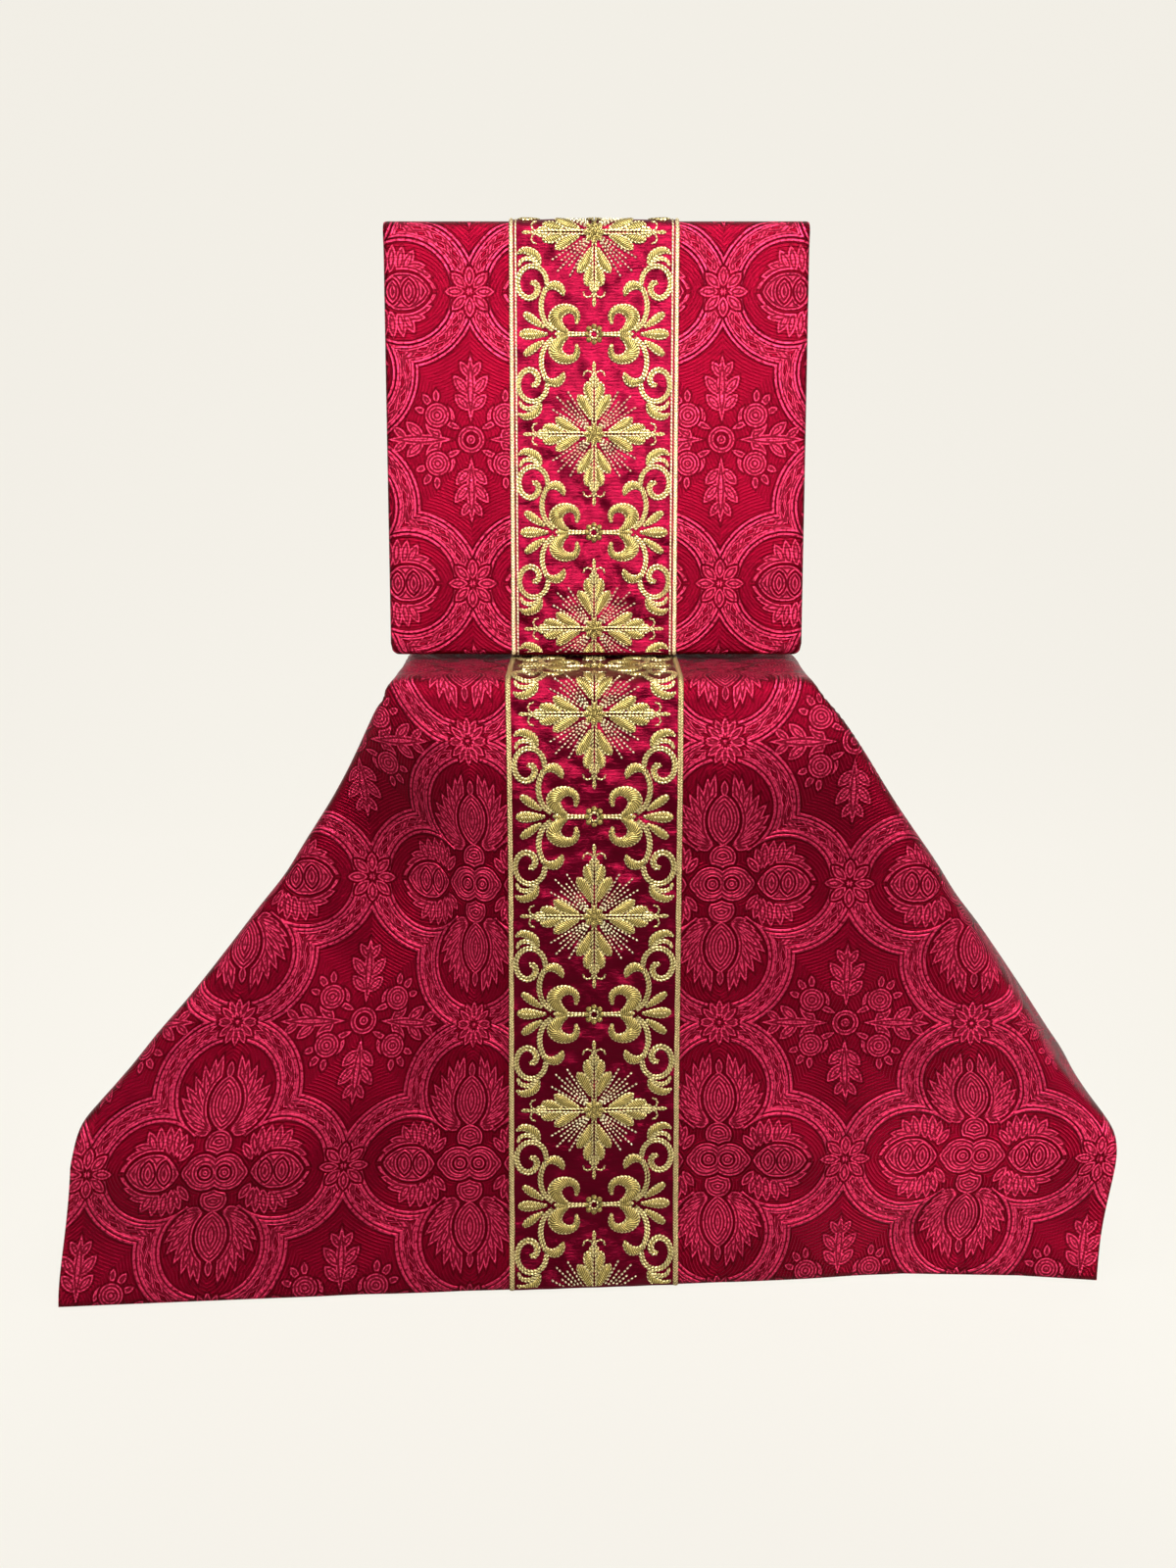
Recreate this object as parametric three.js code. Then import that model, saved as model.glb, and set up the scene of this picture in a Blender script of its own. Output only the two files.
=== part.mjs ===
// A chalice veil and its burse, shown on a plain stand.
// The veil is one square of lined damask thrown over the stand's top board, with more
// of it to the front than to the back. The burse is a stiff square case: two boards
// joined by a cloth hinge, standing on the veil with the hinge up. One embroidered
// band, edged with braid, runs down the middle of each.
// Units are millimetres. X is the width, Y runs from front to back and Z is up. The
// model is worked out with y = 0 at the veil's front fold, then moved to its own origin.
import * as THREE from 'three';
import { mergeVertices } from 'three/addons/utils/BufferGeometryUtils.js';

// ---------------------------------------------------------------- driving sizes
const SEAM_GAP = 0.3;

const VEIL_SIDE = 550;
const VEIL_WALL = 1.6;
const VEIL_TOP = 328.5;
const FRONT_DROP = 327.5;
const TOP_DEPTH = 145;
const HALF_TOP = { right: 113, left: 105 };

const BAND_WIDTH = 89;
const VEIL_BAND_WIDTH = 90.6;
const BAND_WALL = 1.0;
const BRAID_WIDTH = 2.8;
const BRAID_WALL = 0.8;
const RELIEF = 1.2;
const VEIL_FOLD_STEP = 4;
const HINGE_STEP = 3;
const MOTIF_PITCH = 103;
// The veil's embroidery is a little larger than the burse's, and so is its band.
const VEIL_MOTIF_SCALE = 1.03;
const FIRST_CROSS_DROP = 17.5;

const BURSE_WIDTH = 223;
const BURSE_HEIGHT = 226;
const BURSE_LEAN = 4.5;
const BURSE_FRONT_Y = 61;
const BURSE_SHIFT_X = 1.2;
const BURSE_FIRST_CROSS = 14;
const BOARD_THICK = 5;
const BOARD_BEVEL = 0.9;
const BOARD_CORNER = 7;
const HINGE_RADIUS = 6.2;
const HINGE_WALL = 1.6;

const STAND_INSET = 9;
const STAND_BOARD_THICK = 14;
const STAND_BOARD_ROUND = 4;
const STAND_CORNER = 12;
const POST_RADIUS = 17;
const POST_SIDES = 20;
const FOOT = { width: 190, depth: 124, thick: 12 };

// ---------------------------------------------------------------- how the veil hangs
const FRONT_FLARE = 3.5;
const SIDE_FLARE = 4;
const BACK_FLARE = 5;
const RING_STEPS = 16;
const FOLD_CENTRE_WEIGHT = 0.04;
const FOLD_RINGS = [
  { radius: 3, weight: 0.23 },
  { radius: 6, weight: 0.37 },
  { radius: 9, weight: 0.33 },
  { radius: 11.5, weight: 0.1 },
];
const FOLD_REACH = 11.5;

// Each front corner hangs as a cone: the cloth leaves the front plane at `leave` degrees
// past straight down, turns over a ridge, doubles back inside and joins the side at `join`.
const CORNER_JOIN = 200;
const FRONT_CORNERS = {
  right: {
    half: HALF_TOP.right,
    leave: 33.2,
    turns: [
      { out: 0.55, back: 0.12, up: -0.82 },
      { out: 0.32, back: 0.20, up: -0.93 },
      { out: -0.17, back: 0.12, up: -0.98 },
      { out: -0.06, back: 0.24, up: -0.97 },
    ],
  },
  left: {
    half: HALF_TOP.left,
    leave: 35.9,
    turns: [
      { out: 0.54, back: 0.16, up: -0.82 },
      { out: 0.32, back: 0.24, up: -0.93 },
      { out: -0.14, back: 0.14, up: -0.98 },
      { out: -0.04, back: 0.25, up: -0.97 },
    ],
  },
};
const BACK_CORNER = {
  leave: 98,
  join: 176,
  turns: [
    { out: 0.22, back: 0.37, up: -0.90 },
    { out: 0.32, back: 0.59, up: -0.735 },
    { out: 0.36, back: 0.22, up: -0.90 },
  ],
};
// How far the hem swings back, across the front, from the left edge to the right.
const HEM_WAVE = [
  { across: -1.00, back: -20 },
  { across: -0.60, back: -11 },
  { across: -0.25, back: -4 },
  { across: 0.00, back: 0 },
  { across: 0.30, back: 6 },
  { across: 0.62, back: 14 },
  { across: 0.85, back: 12 },
  { across: 1.00, back: 7 },
];
const LEFT_BOW = { start: 30, spread: 110, drop: 255, out: 16, back: 16, lean: 0.8 };
const RIGHT_SWELL = { way: 1, start: 60, spread: 200, from: 200, over: 45, out: 6.8 };
const RIGHT_TUCK = { way: 1, start: 60, spread: 200, from: 238, over: 90, out: -9.2 };
const LEFT_SWELL = { way: -1, start: 60, spread: 200, from: 245, over: 80, out: 7 };
const HEM_KICK = { depth: 55, forward: 5 };

// Grid lines of the veil: each row spaces its lines evenly up to `to`.
const ACROSS_LINES = [
  { to: -125, steps: 8 },
  { to: -110, steps: 3 },
  { to: -92, steps: 4 },
  { to: -VEIL_BAND_WIDTH / 2, steps: 3 },
  { to: VEIL_BAND_WIDTH / 2, steps: 4 },
  { to: 100, steps: 3 },
  { to: 118, steps: 4 },
  { to: 133, steps: 3 },
  { to: VEIL_SIDE / 2, steps: 8 },
];
const ALONG_LINES = [
  { to: -60, steps: 15 },
  { to: -15, steps: 4 },
  { to: 12, steps: 9 },
  { to: 133, steps: 5 },
  { to: 157, steps: 7 },
  { to: VEIL_SIDE - FRONT_DROP, steps: 5 },
];

const rad = THREE.MathUtils.degToRad;
const clamp = THREE.MathUtils.clamp;
const smooth = (x) => THREE.MathUtils.smoothstep(x, 0, 1);
const vec = (x, y, z) => new THREE.Vector3(x, y, z);

// ---------------------------------------------------------------- drape of the veil
// A direction is a unit vector (out, back, up), with `out` away from the middle line.
// An angle turns in the flat cloth about a corner of the top: 0 points to the middle
// line, 90 to the front hem and 180 straight out to the side.
function frontDirection(angle) {
  const flare = rad(FRONT_FLARE);
  const down = Math.sin(angle);
  return vec(-Math.cos(angle), -down * Math.sin(flare), -down * Math.cos(flare));
}

function backDirection(angle) {
  const flare = rad(BACK_FLARE);
  const down = Math.sin(angle);
  return vec(-Math.cos(angle), down * Math.sin(flare), -down * Math.cos(flare));
}

function sideDirection(angle, way) {
  const flare = rad(SIDE_FLARE);
  const turn = 1.5 * Math.PI - angle;
  const down = Math.sin(turn);
  return vec(down * Math.sin(flare), way * Math.cos(turn), -down * Math.cos(flare));
}

// A smooth path over the unit sphere through the given directions, at an even pace.
function spherePath(first, turns, last) {
  const knots = [first, ...turns.map((turn) => vec(turn.out, turn.back, turn.up).normalize()), last];
  const before = first.clone().multiplyScalar(2).sub(knots[1]);
  const after = last.clone().multiplyScalar(2).sub(knots[knots.length - 2]);
  const all = [before, ...knots, after];
  const samples = [];
  const pace = 60;
  for (let i = 1; i < all.length - 2; i++) {
    for (let k = 0; k < pace; k++) {
      samples.push(catmullRom(all[i - 1], all[i], all[i + 1], all[i + 2], k / pace).normalize());
    }
  }
  samples.push(last.clone());
  const run = [0];
  for (let i = 1; i < samples.length; i++) {
    run.push(run[i - 1] + samples[i].angleTo(samples[i - 1]));
  }
  return (share) => {
    const want = clamp(share, 0, 1) * run[run.length - 1];
    let i = 1;
    while (i < run.length - 1 && run[i] < want) i++;
    const part = (want - run[i - 1]) / (run[i] - run[i - 1]);
    return samples[i - 1].clone().lerp(samples[i], part).normalize();
  };
}

function catmullRom(a, b, c, d, s) {
  const point = b.clone().multiplyScalar(2);
  point.addScaledVector(c.clone().sub(a), s);
  point.addScaledVector(
    a.clone().multiplyScalar(2).addScaledVector(b, -5).addScaledVector(c, 4).sub(d), s * s);
  point.addScaledVector(b.clone().multiplyScalar(3).sub(a).addScaledVector(c, -3).add(d), s * s * s);
  return point.multiplyScalar(0.5);
}

function frontCorner(corner) {
  const leave = rad(90 + corner.leave);
  const join = rad(CORNER_JOIN);
  const path = spherePath(frontDirection(leave), corner.turns, sideDirection(join, 1));
  return { half: corner.half, leave, join, path };
}

const CORNER = { right: frontCorner(FRONT_CORNERS.right), left: frontCorner(FRONT_CORNERS.left) };
const BACK = {
  leave: rad(BACK_CORNER.leave),
  join: rad(BACK_CORNER.join),
  path: spherePath(
    backDirection(rad(BACK_CORNER.leave)), BACK_CORNER.turns, sideDirection(rad(BACK_CORNER.join), -1)),
};

const wrap = (angle) => (angle + 2 * Math.PI) % (2 * Math.PI);

// Place of the cloth with knife-sharp folds. u runs across, t from front to back, and
// both are zero where the middle line meets the front fold.
function sharpPlace(u, t) {
  const side = u >= 0 ? 'right' : 'left';
  const way = u >= 0 ? 1 : -1;
  const corner = CORNER[side];
  const across = Math.abs(u);
  const past = across - corner.half;
  let place;
  if (t > TOP_DEPTH) {
    const angle = wrap(Math.atan2(t - TOP_DEPTH, -past));
    const reach = Math.hypot(past, t - TOP_DEPTH);
    const direction = turned(angle, BACK, backDirection, -1);
    place = direction.multiplyScalar(reach).add(vec(corner.half, TOP_DEPTH, VEIL_TOP));
  } else if (t < 0 || past > 0) {
    const angle = wrap(Math.atan2(-t, -past));
    const reach = Math.hypot(past, t);
    const direction = turned(angle, corner, frontDirection, 1);
    place = direction.multiplyScalar(reach).add(vec(corner.half, 0, VEIL_TOP));
  } else {
    place = vec(across, t, VEIL_TOP);
  }
  place.x *= way;
  return place;
}

function turned(angle, corner, faceDirection, way) {
  if (angle <= corner.leave) return faceDirection(angle);
  if (angle >= corner.join) return sideDirection(angle, way);
  return corner.path((angle - corner.leave) / (corner.join - corner.leave));
}

// The folds are rounded by averaging the sharp cloth over rings around each point.
function softPlace(u, t) {
  const sum = sharpPlace(u, t).multiplyScalar(FOLD_CENTRE_WEIGHT);
  let weights = FOLD_CENTRE_WEIGHT;
  FOLD_RINGS.forEach((ring, index) => {
    for (let k = 0; k < RING_STEPS; k++) {
      const angle = 2 * Math.PI * (k + index / FOLD_RINGS.length) / RING_STEPS;
      const near = sharpPlace(u + ring.radius * Math.cos(angle), t + ring.radius * Math.sin(angle));
      sum.addScaledVector(near, ring.weight / RING_STEPS);
    }
    weights += ring.weight;
  });
  return sum.multiplyScalar(1 / weights);
}

function hemWave(across) {
  let i = 1;
  while (i < HEM_WAVE.length - 1 && HEM_WAVE[i].across < across) i++;
  const a = HEM_WAVE[i - 1];
  const b = HEM_WAVE[i];
  return a.back + (b.back - a.back) * clamp((across - a.across) / (b.across - a.across), 0, 1);
}

// The front sways: its left edge bows, and the hem wanders back and kicks forward.
function veilPlace(u, t) {
  const place = softPlace(u, t);
  const drop = Math.max(-t, 0);
  const low = clamp(drop / FRONT_DROP, 0, 1);
  const left = smooth((-u - LEFT_BOW.start) / LEFT_BOW.spread);
  const bow = Math.sin(Math.PI * Math.pow(clamp(drop / LEFT_BOW.drop, 0, 1), LEFT_BOW.lean));
  place.x += LEFT_BOW.out * bow * left;
  place.y += LEFT_BOW.back * bow * left * left + hemWave(2 * u / VEIL_SIDE) * low * low;
  for (const swell of [RIGHT_SWELL, RIGHT_TUCK, LEFT_SWELL]) {
    const across = smooth((swell.way * u - swell.start) / swell.spread);
    place.x += swell.way * swell.out * across * smooth((drop - swell.from) / swell.over);
  }
  const kick = smooth((drop - (FRONT_DROP - HEM_KICK.depth)) / HEM_KICK.depth);
  place.y -= HEM_KICK.forward * kick * kick;
  return place;
}

function veilNormal(u, t) {
  const step = 0.5;
  const across = veilPlace(u + step, t).sub(veilPlace(u - step, t));
  const along = veilPlace(u, t + step).sub(veilPlace(u, t - step));
  return across.cross(along).normalize();
}

const onVeil = (u, t, lift) => veilPlace(u, t).addScaledVector(veilNormal(u, t), lift);

// ---------------------------------------------------------------- shape of the burse
// The burse's outer face is a profile that climbs the front board, rounds the hinge and
// comes down the back board. h is the length along it from the front board's foot.
const LEAN = rad(BURSE_LEAN);
const TRIM_TOP = 2 * SEAM_GAP + BAND_WALL + RELIEF;
const BURSE_Z = VEIL_TOP + TRIM_TOP + SEAM_GAP + BOARD_THICK * Math.sin(LEAN);
const BOARD_HEIGHT = (BURSE_HEIGHT - HINGE_RADIUS) / Math.cos(LEAN);
const HINGE_TURN = Math.PI - 2 * LEAN;
const HINGE_RUN = HINGE_RADIUS * HINGE_TURN;
const BURSE_RUN = 2 * BOARD_HEIGHT + HINGE_RUN;
const UP_FRONT = vec(0, Math.sin(LEAN), Math.cos(LEAN));
const OUT_FRONT = vec(0, -Math.cos(LEAN), Math.sin(LEAN));
const FRONT_FOOT = vec(BURSE_SHIFT_X, BURSE_FRONT_Y, BURSE_Z);
const FRONT_HEAD = FRONT_FOOT.clone().addScaledVector(UP_FRONT, BOARD_HEIGHT);
const HINGE_CENTRE = FRONT_HEAD.clone().addScaledVector(OUT_FRONT, -HINGE_RADIUS);

function onBurse(x, h, lift) {
  const hinge = clamp((h - BOARD_HEIGHT) / HINGE_RADIUS, 0, HINGE_TURN);
  const tilt = LEAN + hinge;
  const out = vec(0, -Math.cos(tilt), Math.sin(tilt));
  const up = vec(0, Math.sin(tilt), Math.cos(tilt));
  const straight = h - BOARD_HEIGHT - hinge * HINGE_RADIUS;
  const place = HINGE_CENTRE.clone().addScaledVector(out, HINGE_RADIUS + lift).addScaledVector(up, straight);
  return place.add(vec(x, 0, 0));
}

// ---------------------------------------------------------------- solids
function lines(start, rows) {
  const out = [start];
  for (const row of rows) {
    const from = out[out.length - 1];
    for (let k = 1; k <= row.steps; k++) out.push(from + (row.to - from) * k / row.steps);
  }
  return out;
}

function solidFrom(points, faces) {
  const geometry = new THREE.BufferGeometry();
  geometry.setAttribute('position', new THREE.Float32BufferAttribute(points.flatMap((p) => p.toArray()), 3));
  geometry.setIndex(faces.flat());
  geometry.computeVertexNormals();
  return geometry;
}

// A wall of cloth over a grid of lines, from `low` to `high` off the surface. Each cell is
// cut along the diagonal that points away from the middle of the surface, as folds do.
function wall(surface, acrossLines, alongLines, low, high) {
  const wide = acrossLines.length;
  const long = alongLines.length;
  const points = [];
  for (const lift of [high, low]) {
    for (const along of alongLines) {
      for (const across of acrossLines) points.push(surface(across, along, lift));
    }
  }
  const under = wide * long;
  const faces = [];
  for (let j = 0; j < long - 1; j++) {
    for (let i = 0; i < wide - 1; i++) {
      const a = j * wide + i;
      const b = a + 1;
      const c = a + wide + 1;
      const d = a + wide;
      const away = (acrossLines[i] + acrossLines[i + 1]) * (alongLines[j] + alongLines[j + 1] - TOP_DEPTH);
      const halves = away > 0 ? [[a, b, c], [a, c, d]] : [[a, b, d], [b, c, d]];
      for (const [p, q, r] of halves) faces.push([p, q, r], [under + p, under + r, under + q]);
    }
  }
  const rim = [];
  for (let i = 0; i < wide - 1; i++) rim.push(i);
  for (let j = 0; j < long - 1; j++) rim.push(j * wide + wide - 1);
  for (let i = wide - 1; i > 0; i--) rim.push((long - 1) * wide + i);
  for (let j = long - 1; j > 0; j--) rim.push(j * wide);
  rim.forEach((a, k) => {
    const b = rim[(k + 1) % rim.length];
    faces.push([a, under + a, under + b], [a, under + b, b]);
  });
  return solidFrom(points, faces);
}

// A low-relief plate: a flat outline cut into triangles and laid on a surface between
// `low` and `high`. Near a fold, which runs across, an edge is halved until it climbs
// no more than the fold's step.
function plate(surface, outline, folds, low, high) {
  const flat = outline.map((p) => p.clone());
  let triangles = THREE.ShapeUtils.triangulateShape(flat, []).map(([a, b, c]) => (
    THREE.ShapeUtils.area([flat[a], flat[b], flat[c]]) > 0 ? [a, b, c] : [a, c, b]));
  const tooSteep = (p, q) => {
    const bottom = Math.min(flat[p].y, flat[q].y);
    const top = Math.max(flat[p].y, flat[q].y);
    return folds.some((fold) => top - bottom > fold.step && bottom < fold.to && top > fold.from);
  };
  let halves;
  do {
    halves = new Map();
    for (const [a, b, c] of triangles) {
      for (const [p, q] of [[a, b], [b, c], [c, a]]) {
        const key = Math.min(p, q) + '_' + Math.max(p, q);
        if (tooSteep(p, q) && !halves.has(key)) {
          flat.push(flat[p].clone().lerp(flat[q], 0.5));
          halves.set(key, flat.length - 1);
        }
      }
    }
    triangles = triangles.flatMap((triangle) => split(triangle, halves));
  } while (halves.size > 0);
  const count = flat.length;
  const points = [];
  for (const lift of [high, low]) {
    for (const p of flat) points.push(surface(p.x, p.y, lift));
  }
  const faces = [];
  const edges = new Set();
  for (const [a, b, c] of triangles) {
    faces.push([a, b, c], [count + a, count + c, count + b]);
    for (const [p, q] of [[a, b], [b, c], [c, a]]) edges.add(p + '_' + q);
  }
  for (const edge of edges) {
    const [p, q] = edge.split('_').map(Number);
    if (!edges.has(q + '_' + p)) faces.push([p, count + p, count + q], [p, count + q, q]);
  }
  return solidFrom(points, faces);
}

// A triangle with one, two or three of its edges halved becomes two, three or four.
function split([a, b, c], halves) {
  const half = (p, q) => halves.get(Math.min(p, q) + '_' + Math.max(p, q));
  const ab = half(a, b);
  const bc = half(b, c);
  const ca = half(c, a);
  if (ab !== undefined && bc !== undefined && ca !== undefined) {
    return [[a, ab, ca], [ab, b, bc], [ca, bc, c], [ab, bc, ca]];
  }
  if (ab === undefined && bc === undefined && ca === undefined) return [[a, b, c]];
  if (ab === undefined) return split([b, c, a], halves);
  if (bc === undefined && ca === undefined) return [[a, ab, c], [ab, b, c]];
  if (bc !== undefined) return [[ab, b, bc], [a, ab, bc], [a, bc, c]];
  return [[a, ab, ca], [ab, b, c], [ab, c, ca]];
}

// ---------------------------------------------------------------- outlines of the motifs
// A quarter of the leaf cross, from the tip of its upper arm round to the right arm.
const CROSS_ARM = [
  { side: 0, reach: 37 },
  { side: 5.3, reach: 31.5 },
  { side: 1.9, reach: 29.6 },
  { side: 4.7, reach: 24 },
  { side: 8.8, reach: 18.6 },
  { side: 3, reach: 7.4 },
];

function crossOutline() {
  const outline = [];
  for (let arm = 0; arm < 4; arm++) {
    const turn = -arm * Math.PI / 2;
    const right = CROSS_ARM.slice();
    const left = CROSS_ARM.slice(1, -1).reverse().map((row) => ({ side: -row.side, reach: row.reach }));
    for (const row of [...left, ...right]) {
      outline.push(new THREE.Vector2(row.side, row.reach).rotateAround(new THREE.Vector2(), turn));
    }
  }
  return outline;
}

// The upper right quarter of the scroll group, from the rosette's top: the rosette, the
// bar, the leaf that curls over it, the stem up to the volute, the volute's end leaf and
// the fan of petals at the side.
const SCROLL_QUARTER = [
  { across: 0, along: 4.9 },
  { across: 5, along: 1.4 },
  { across: 14, along: 1.4 },
  { across: 14.5, along: 8 },
  { across: 9.2, along: 6 },
  { across: 12.5, along: 14.4 },
  { across: 21, along: 14 },
  { across: 21.5, along: 18.5 },
  { across: 15.8, along: 18.2 },
  { across: 21.5, along: 25 },
  { across: 26.5, along: 33 },
  { across: 36, along: 43.5 },
  { across: 37, along: 33 },
  { across: 40, along: 24 },
  { across: 34, along: 15.8 },
  { across: 28.5, along: 13 },
  { across: 35.4, along: 11 },
  { across: 28.8, along: 3 },
  { across: 38.3, along: 0 },
];

function scrollOutline() {
  const upperRight = SCROLL_QUARTER.map((row) => new THREE.Vector2(row.across, row.along));
  const lowerRight = upperRight.slice(0, -1).reverse().map((p) => new THREE.Vector2(p.x, -p.y));
  const right = [...upperRight, ...lowerRight];
  const left = right.slice(1, -1).reverse().map((p) => new THREE.Vector2(-p.x, p.y));
  return [...right, ...left].reverse();
}

// What is left of an outline between two levels, for a motif that the hem cuts off.
function clip(outline, low, high) {
  let kept = outline;
  for (const [level, way] of [[low, 1], [high, -1]]) {
    const next = [];
    kept.forEach((p, i) => {
      const q = kept[(i + 1) % kept.length];
      const inP = (p.y - level) * way >= 0;
      const inQ = (q.y - level) * way >= 0;
      if (inP) next.push(p);
      if (inP !== inQ) next.push(p.clone().lerp(q, (level - p.y) / (q.y - p.y)));
    });
    kept = next;
  }
  return kept;
}

// ---------------------------------------------------------------- materials
function finish(colour, roughness, metalness = 0) {
  return new THREE.MeshStandardMaterial({ color: colour, roughness, metalness });
}

const DAMASK = finish(0xa8123a, 0.55);
const SATIN = finish(0x8e0f2c, 0.4);
const GOLD = finish(0xc2a552, 0.45, 0.3);
const WOOD = finish(0xc9b694, 0.7);

const group = new THREE.Group();

function add(name, geometry, material) {
  const mesh = new THREE.Mesh(geometry, material);
  mesh.name = name;
  group.add(mesh);
  return mesh;
}

// ---------------------------------------------------------------- veil
const across = lines(-VEIL_SIDE / 2, ACROSS_LINES);
const along = lines(-FRONT_DROP, ALONG_LINES);
const bandAcross = across.filter((u) => Math.abs(u) <= VEIL_BAND_WIDTH / 2 + 1e-6);
const bandLow = SEAM_GAP;
const bandHigh = bandLow + BAND_WALL;
const trimLow = bandHigh + SEAM_GAP;

function braid(name, surface, inner, outer, alongLines) {
  const acrossLines = [Math.min(inner, outer), Math.max(inner, outer)];
  add(name, wall(surface, acrossLines, alongLines, trimLow, trimLow + BRAID_WALL), GOLD);
}

function motif(name, surface, shape, centre, low, high, folds) {
  const placed = shape.map((p) => new THREE.Vector2(p.x, p.y + centre));
  add(name, plate(surface, clip(placed, low, high), folds, trimLow, trimLow + RELIEF), GOLD);
}

add('veil_panel', wall(onVeil, across, along, -VEIL_WALL, 0), DAMASK);
add('veil_orphrey', wall(onVeil, bandAcross, along, bandLow, bandHigh), SATIN);
const veilBandHalf = VEIL_BAND_WIDTH / 2;
braid('veil_braid_left', onVeil, -veilBandHalf + BRAID_WIDTH, -veilBandHalf, along);
braid('veil_braid_right', onVeil, veilBandHalf - BRAID_WIDTH, veilBandHalf, along);

const EDGE_MARGIN = 1.5;
const CROSS_SPARE = 31;
const MOTIF_REACH = 44;
const CROSS = crossOutline();
const SCROLL = scrollOutline();
const enlarged = (outline, scale) => outline.map((p) => p.clone().multiplyScalar(scale));

// Crosses and scroll groups take turns, half a pitch apart. A hem cuts off a cross that
// runs over it, as long as one arm is left, and a scroll group needs its bar to hold
// together.
function motifs(prefix, surface, firstCross, start, end, folds, scale) {
  const low = start + EDGE_MARGIN;
  const high = end - EDGE_MARGIN;
  const counts = { cross: 0, scroll: 0 };
  const step = MOTIF_PITCH * scale / 2;
  const reach = MOTIF_REACH * scale;
  const first = Math.ceil((low - reach - firstCross) / step);
  const last = Math.floor((high + reach - firstCross) / step);
  for (let k = first; k <= last; k++) {
    const kind = k % 2 === 0 ? 'cross' : 'scroll';
    const shape = enlarged(kind === 'cross' ? CROSS : SCROLL, scale);
    const centre = firstCross + k * step;
    const spare = kind === 'cross' ? CROSS_SPARE : 0;
    if (centre - spare > high || centre + spare < low) continue;
    counts[kind] += 1;
    motif(`${prefix}_${kind}_${counts[kind]}`, surface, shape, centre, low, high, folds);
  }
}

const foldAt = (t) => ({ from: t - FOLD_REACH, to: t + FOLD_REACH, step: VEIL_FOLD_STEP });
const veilFolds = [0, TOP_DEPTH].map(foldAt);
const veilEnd = VEIL_SIDE - FRONT_DROP;
motifs('veil', onVeil, -FIRST_CROSS_DROP, -FRONT_DROP, veilEnd, veilFolds, VEIL_MOTIF_SCALE);

// ---------------------------------------------------------------- burse
function burseBoard(name, back) {
  const half = BURSE_WIDTH / 2 - BOARD_BEVEL;
  const high = BOARD_HEIGHT - SEAM_GAP - BOARD_BEVEL;
  const low = BOARD_BEVEL;
  const shape = new THREE.Shape();
  shape.moveTo(-half + BOARD_CORNER, low);
  shape.lineTo(half - BOARD_CORNER, low);
  shape.absarc(half - BOARD_CORNER, low + BOARD_CORNER, BOARD_CORNER, -Math.PI / 2, 0, false);
  shape.lineTo(half, high);
  shape.lineTo(-half, high);
  shape.lineTo(-half, low + BOARD_CORNER);
  shape.absarc(-half + BOARD_CORNER, low + BOARD_CORNER, BOARD_CORNER, Math.PI, 1.5 * Math.PI, false);
  const geometry = new THREE.ExtrudeGeometry(shape, {
    depth: BOARD_THICK - 2 * BOARD_BEVEL,
    bevelEnabled: true,
    bevelThickness: BOARD_BEVEL,
    bevelSize: BOARD_BEVEL,
    bevelSegments: 1,
    curveSegments: 4,
  });
  geometry.translate(0, 0, BOARD_BEVEL - BOARD_THICK);
  geometry.rotateX(Math.PI / 2);
  const mesh = add(name, geometry, DAMASK);
  mesh.position.copy(onBurse(0, back ? BURSE_RUN : 0, 0));
  mesh.rotation.set(back ? LEAN : -LEAN, 0, back ? Math.PI : 0);
}

burseBoard('burse_front', false);
burseBoard('burse_back', true);
const hingeAcross = [-BURSE_WIDTH / 2, BURSE_WIDTH / 2];
const hingeAlong = lines(BOARD_HEIGHT, [{ to: BOARD_HEIGHT + HINGE_RUN, steps: 10 }]);
add('burse_hinge', wall(onBurse, hingeAcross, hingeAlong, -HINGE_WALL, 0), DAMASK);

const burseLines = lines(0, [
  { to: BOARD_HEIGHT, steps: 1 },
  { to: BOARD_HEIGHT + HINGE_RUN, steps: 10 },
  { to: BURSE_RUN, steps: 1 },
]);
const burseBand = [-BAND_WIDTH / 2 - BURSE_SHIFT_X, BAND_WIDTH / 2 - BURSE_SHIFT_X];
add('burse_orphrey', wall(onBurse, burseBand, burseLines, bandLow, bandHigh), SATIN);
braid('burse_braid_left', onBurse, burseBand[0] + BRAID_WIDTH, burseBand[0], burseLines);
braid('burse_braid_right', onBurse, burseBand[1] - BRAID_WIDTH, burseBand[1], burseLines);
const onBurseBand = (x, h, lift) => onBurse(x - BURSE_SHIFT_X, h, lift);
const hingeFold = { from: BOARD_HEIGHT, to: BOARD_HEIGHT + HINGE_RUN, step: HINGE_STEP };
motifs('burse', onBurseBand, BURSE_FIRST_CROSS, 0, BURSE_RUN, [hingeFold], 1);

// ---------------------------------------------------------------- stand
const middleX = (HALF_TOP.right - HALF_TOP.left) / 2;
const middleY = TOP_DEPTH / 2;
const boardTop = VEIL_TOP - VEIL_WALL - SEAM_GAP;

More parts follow.
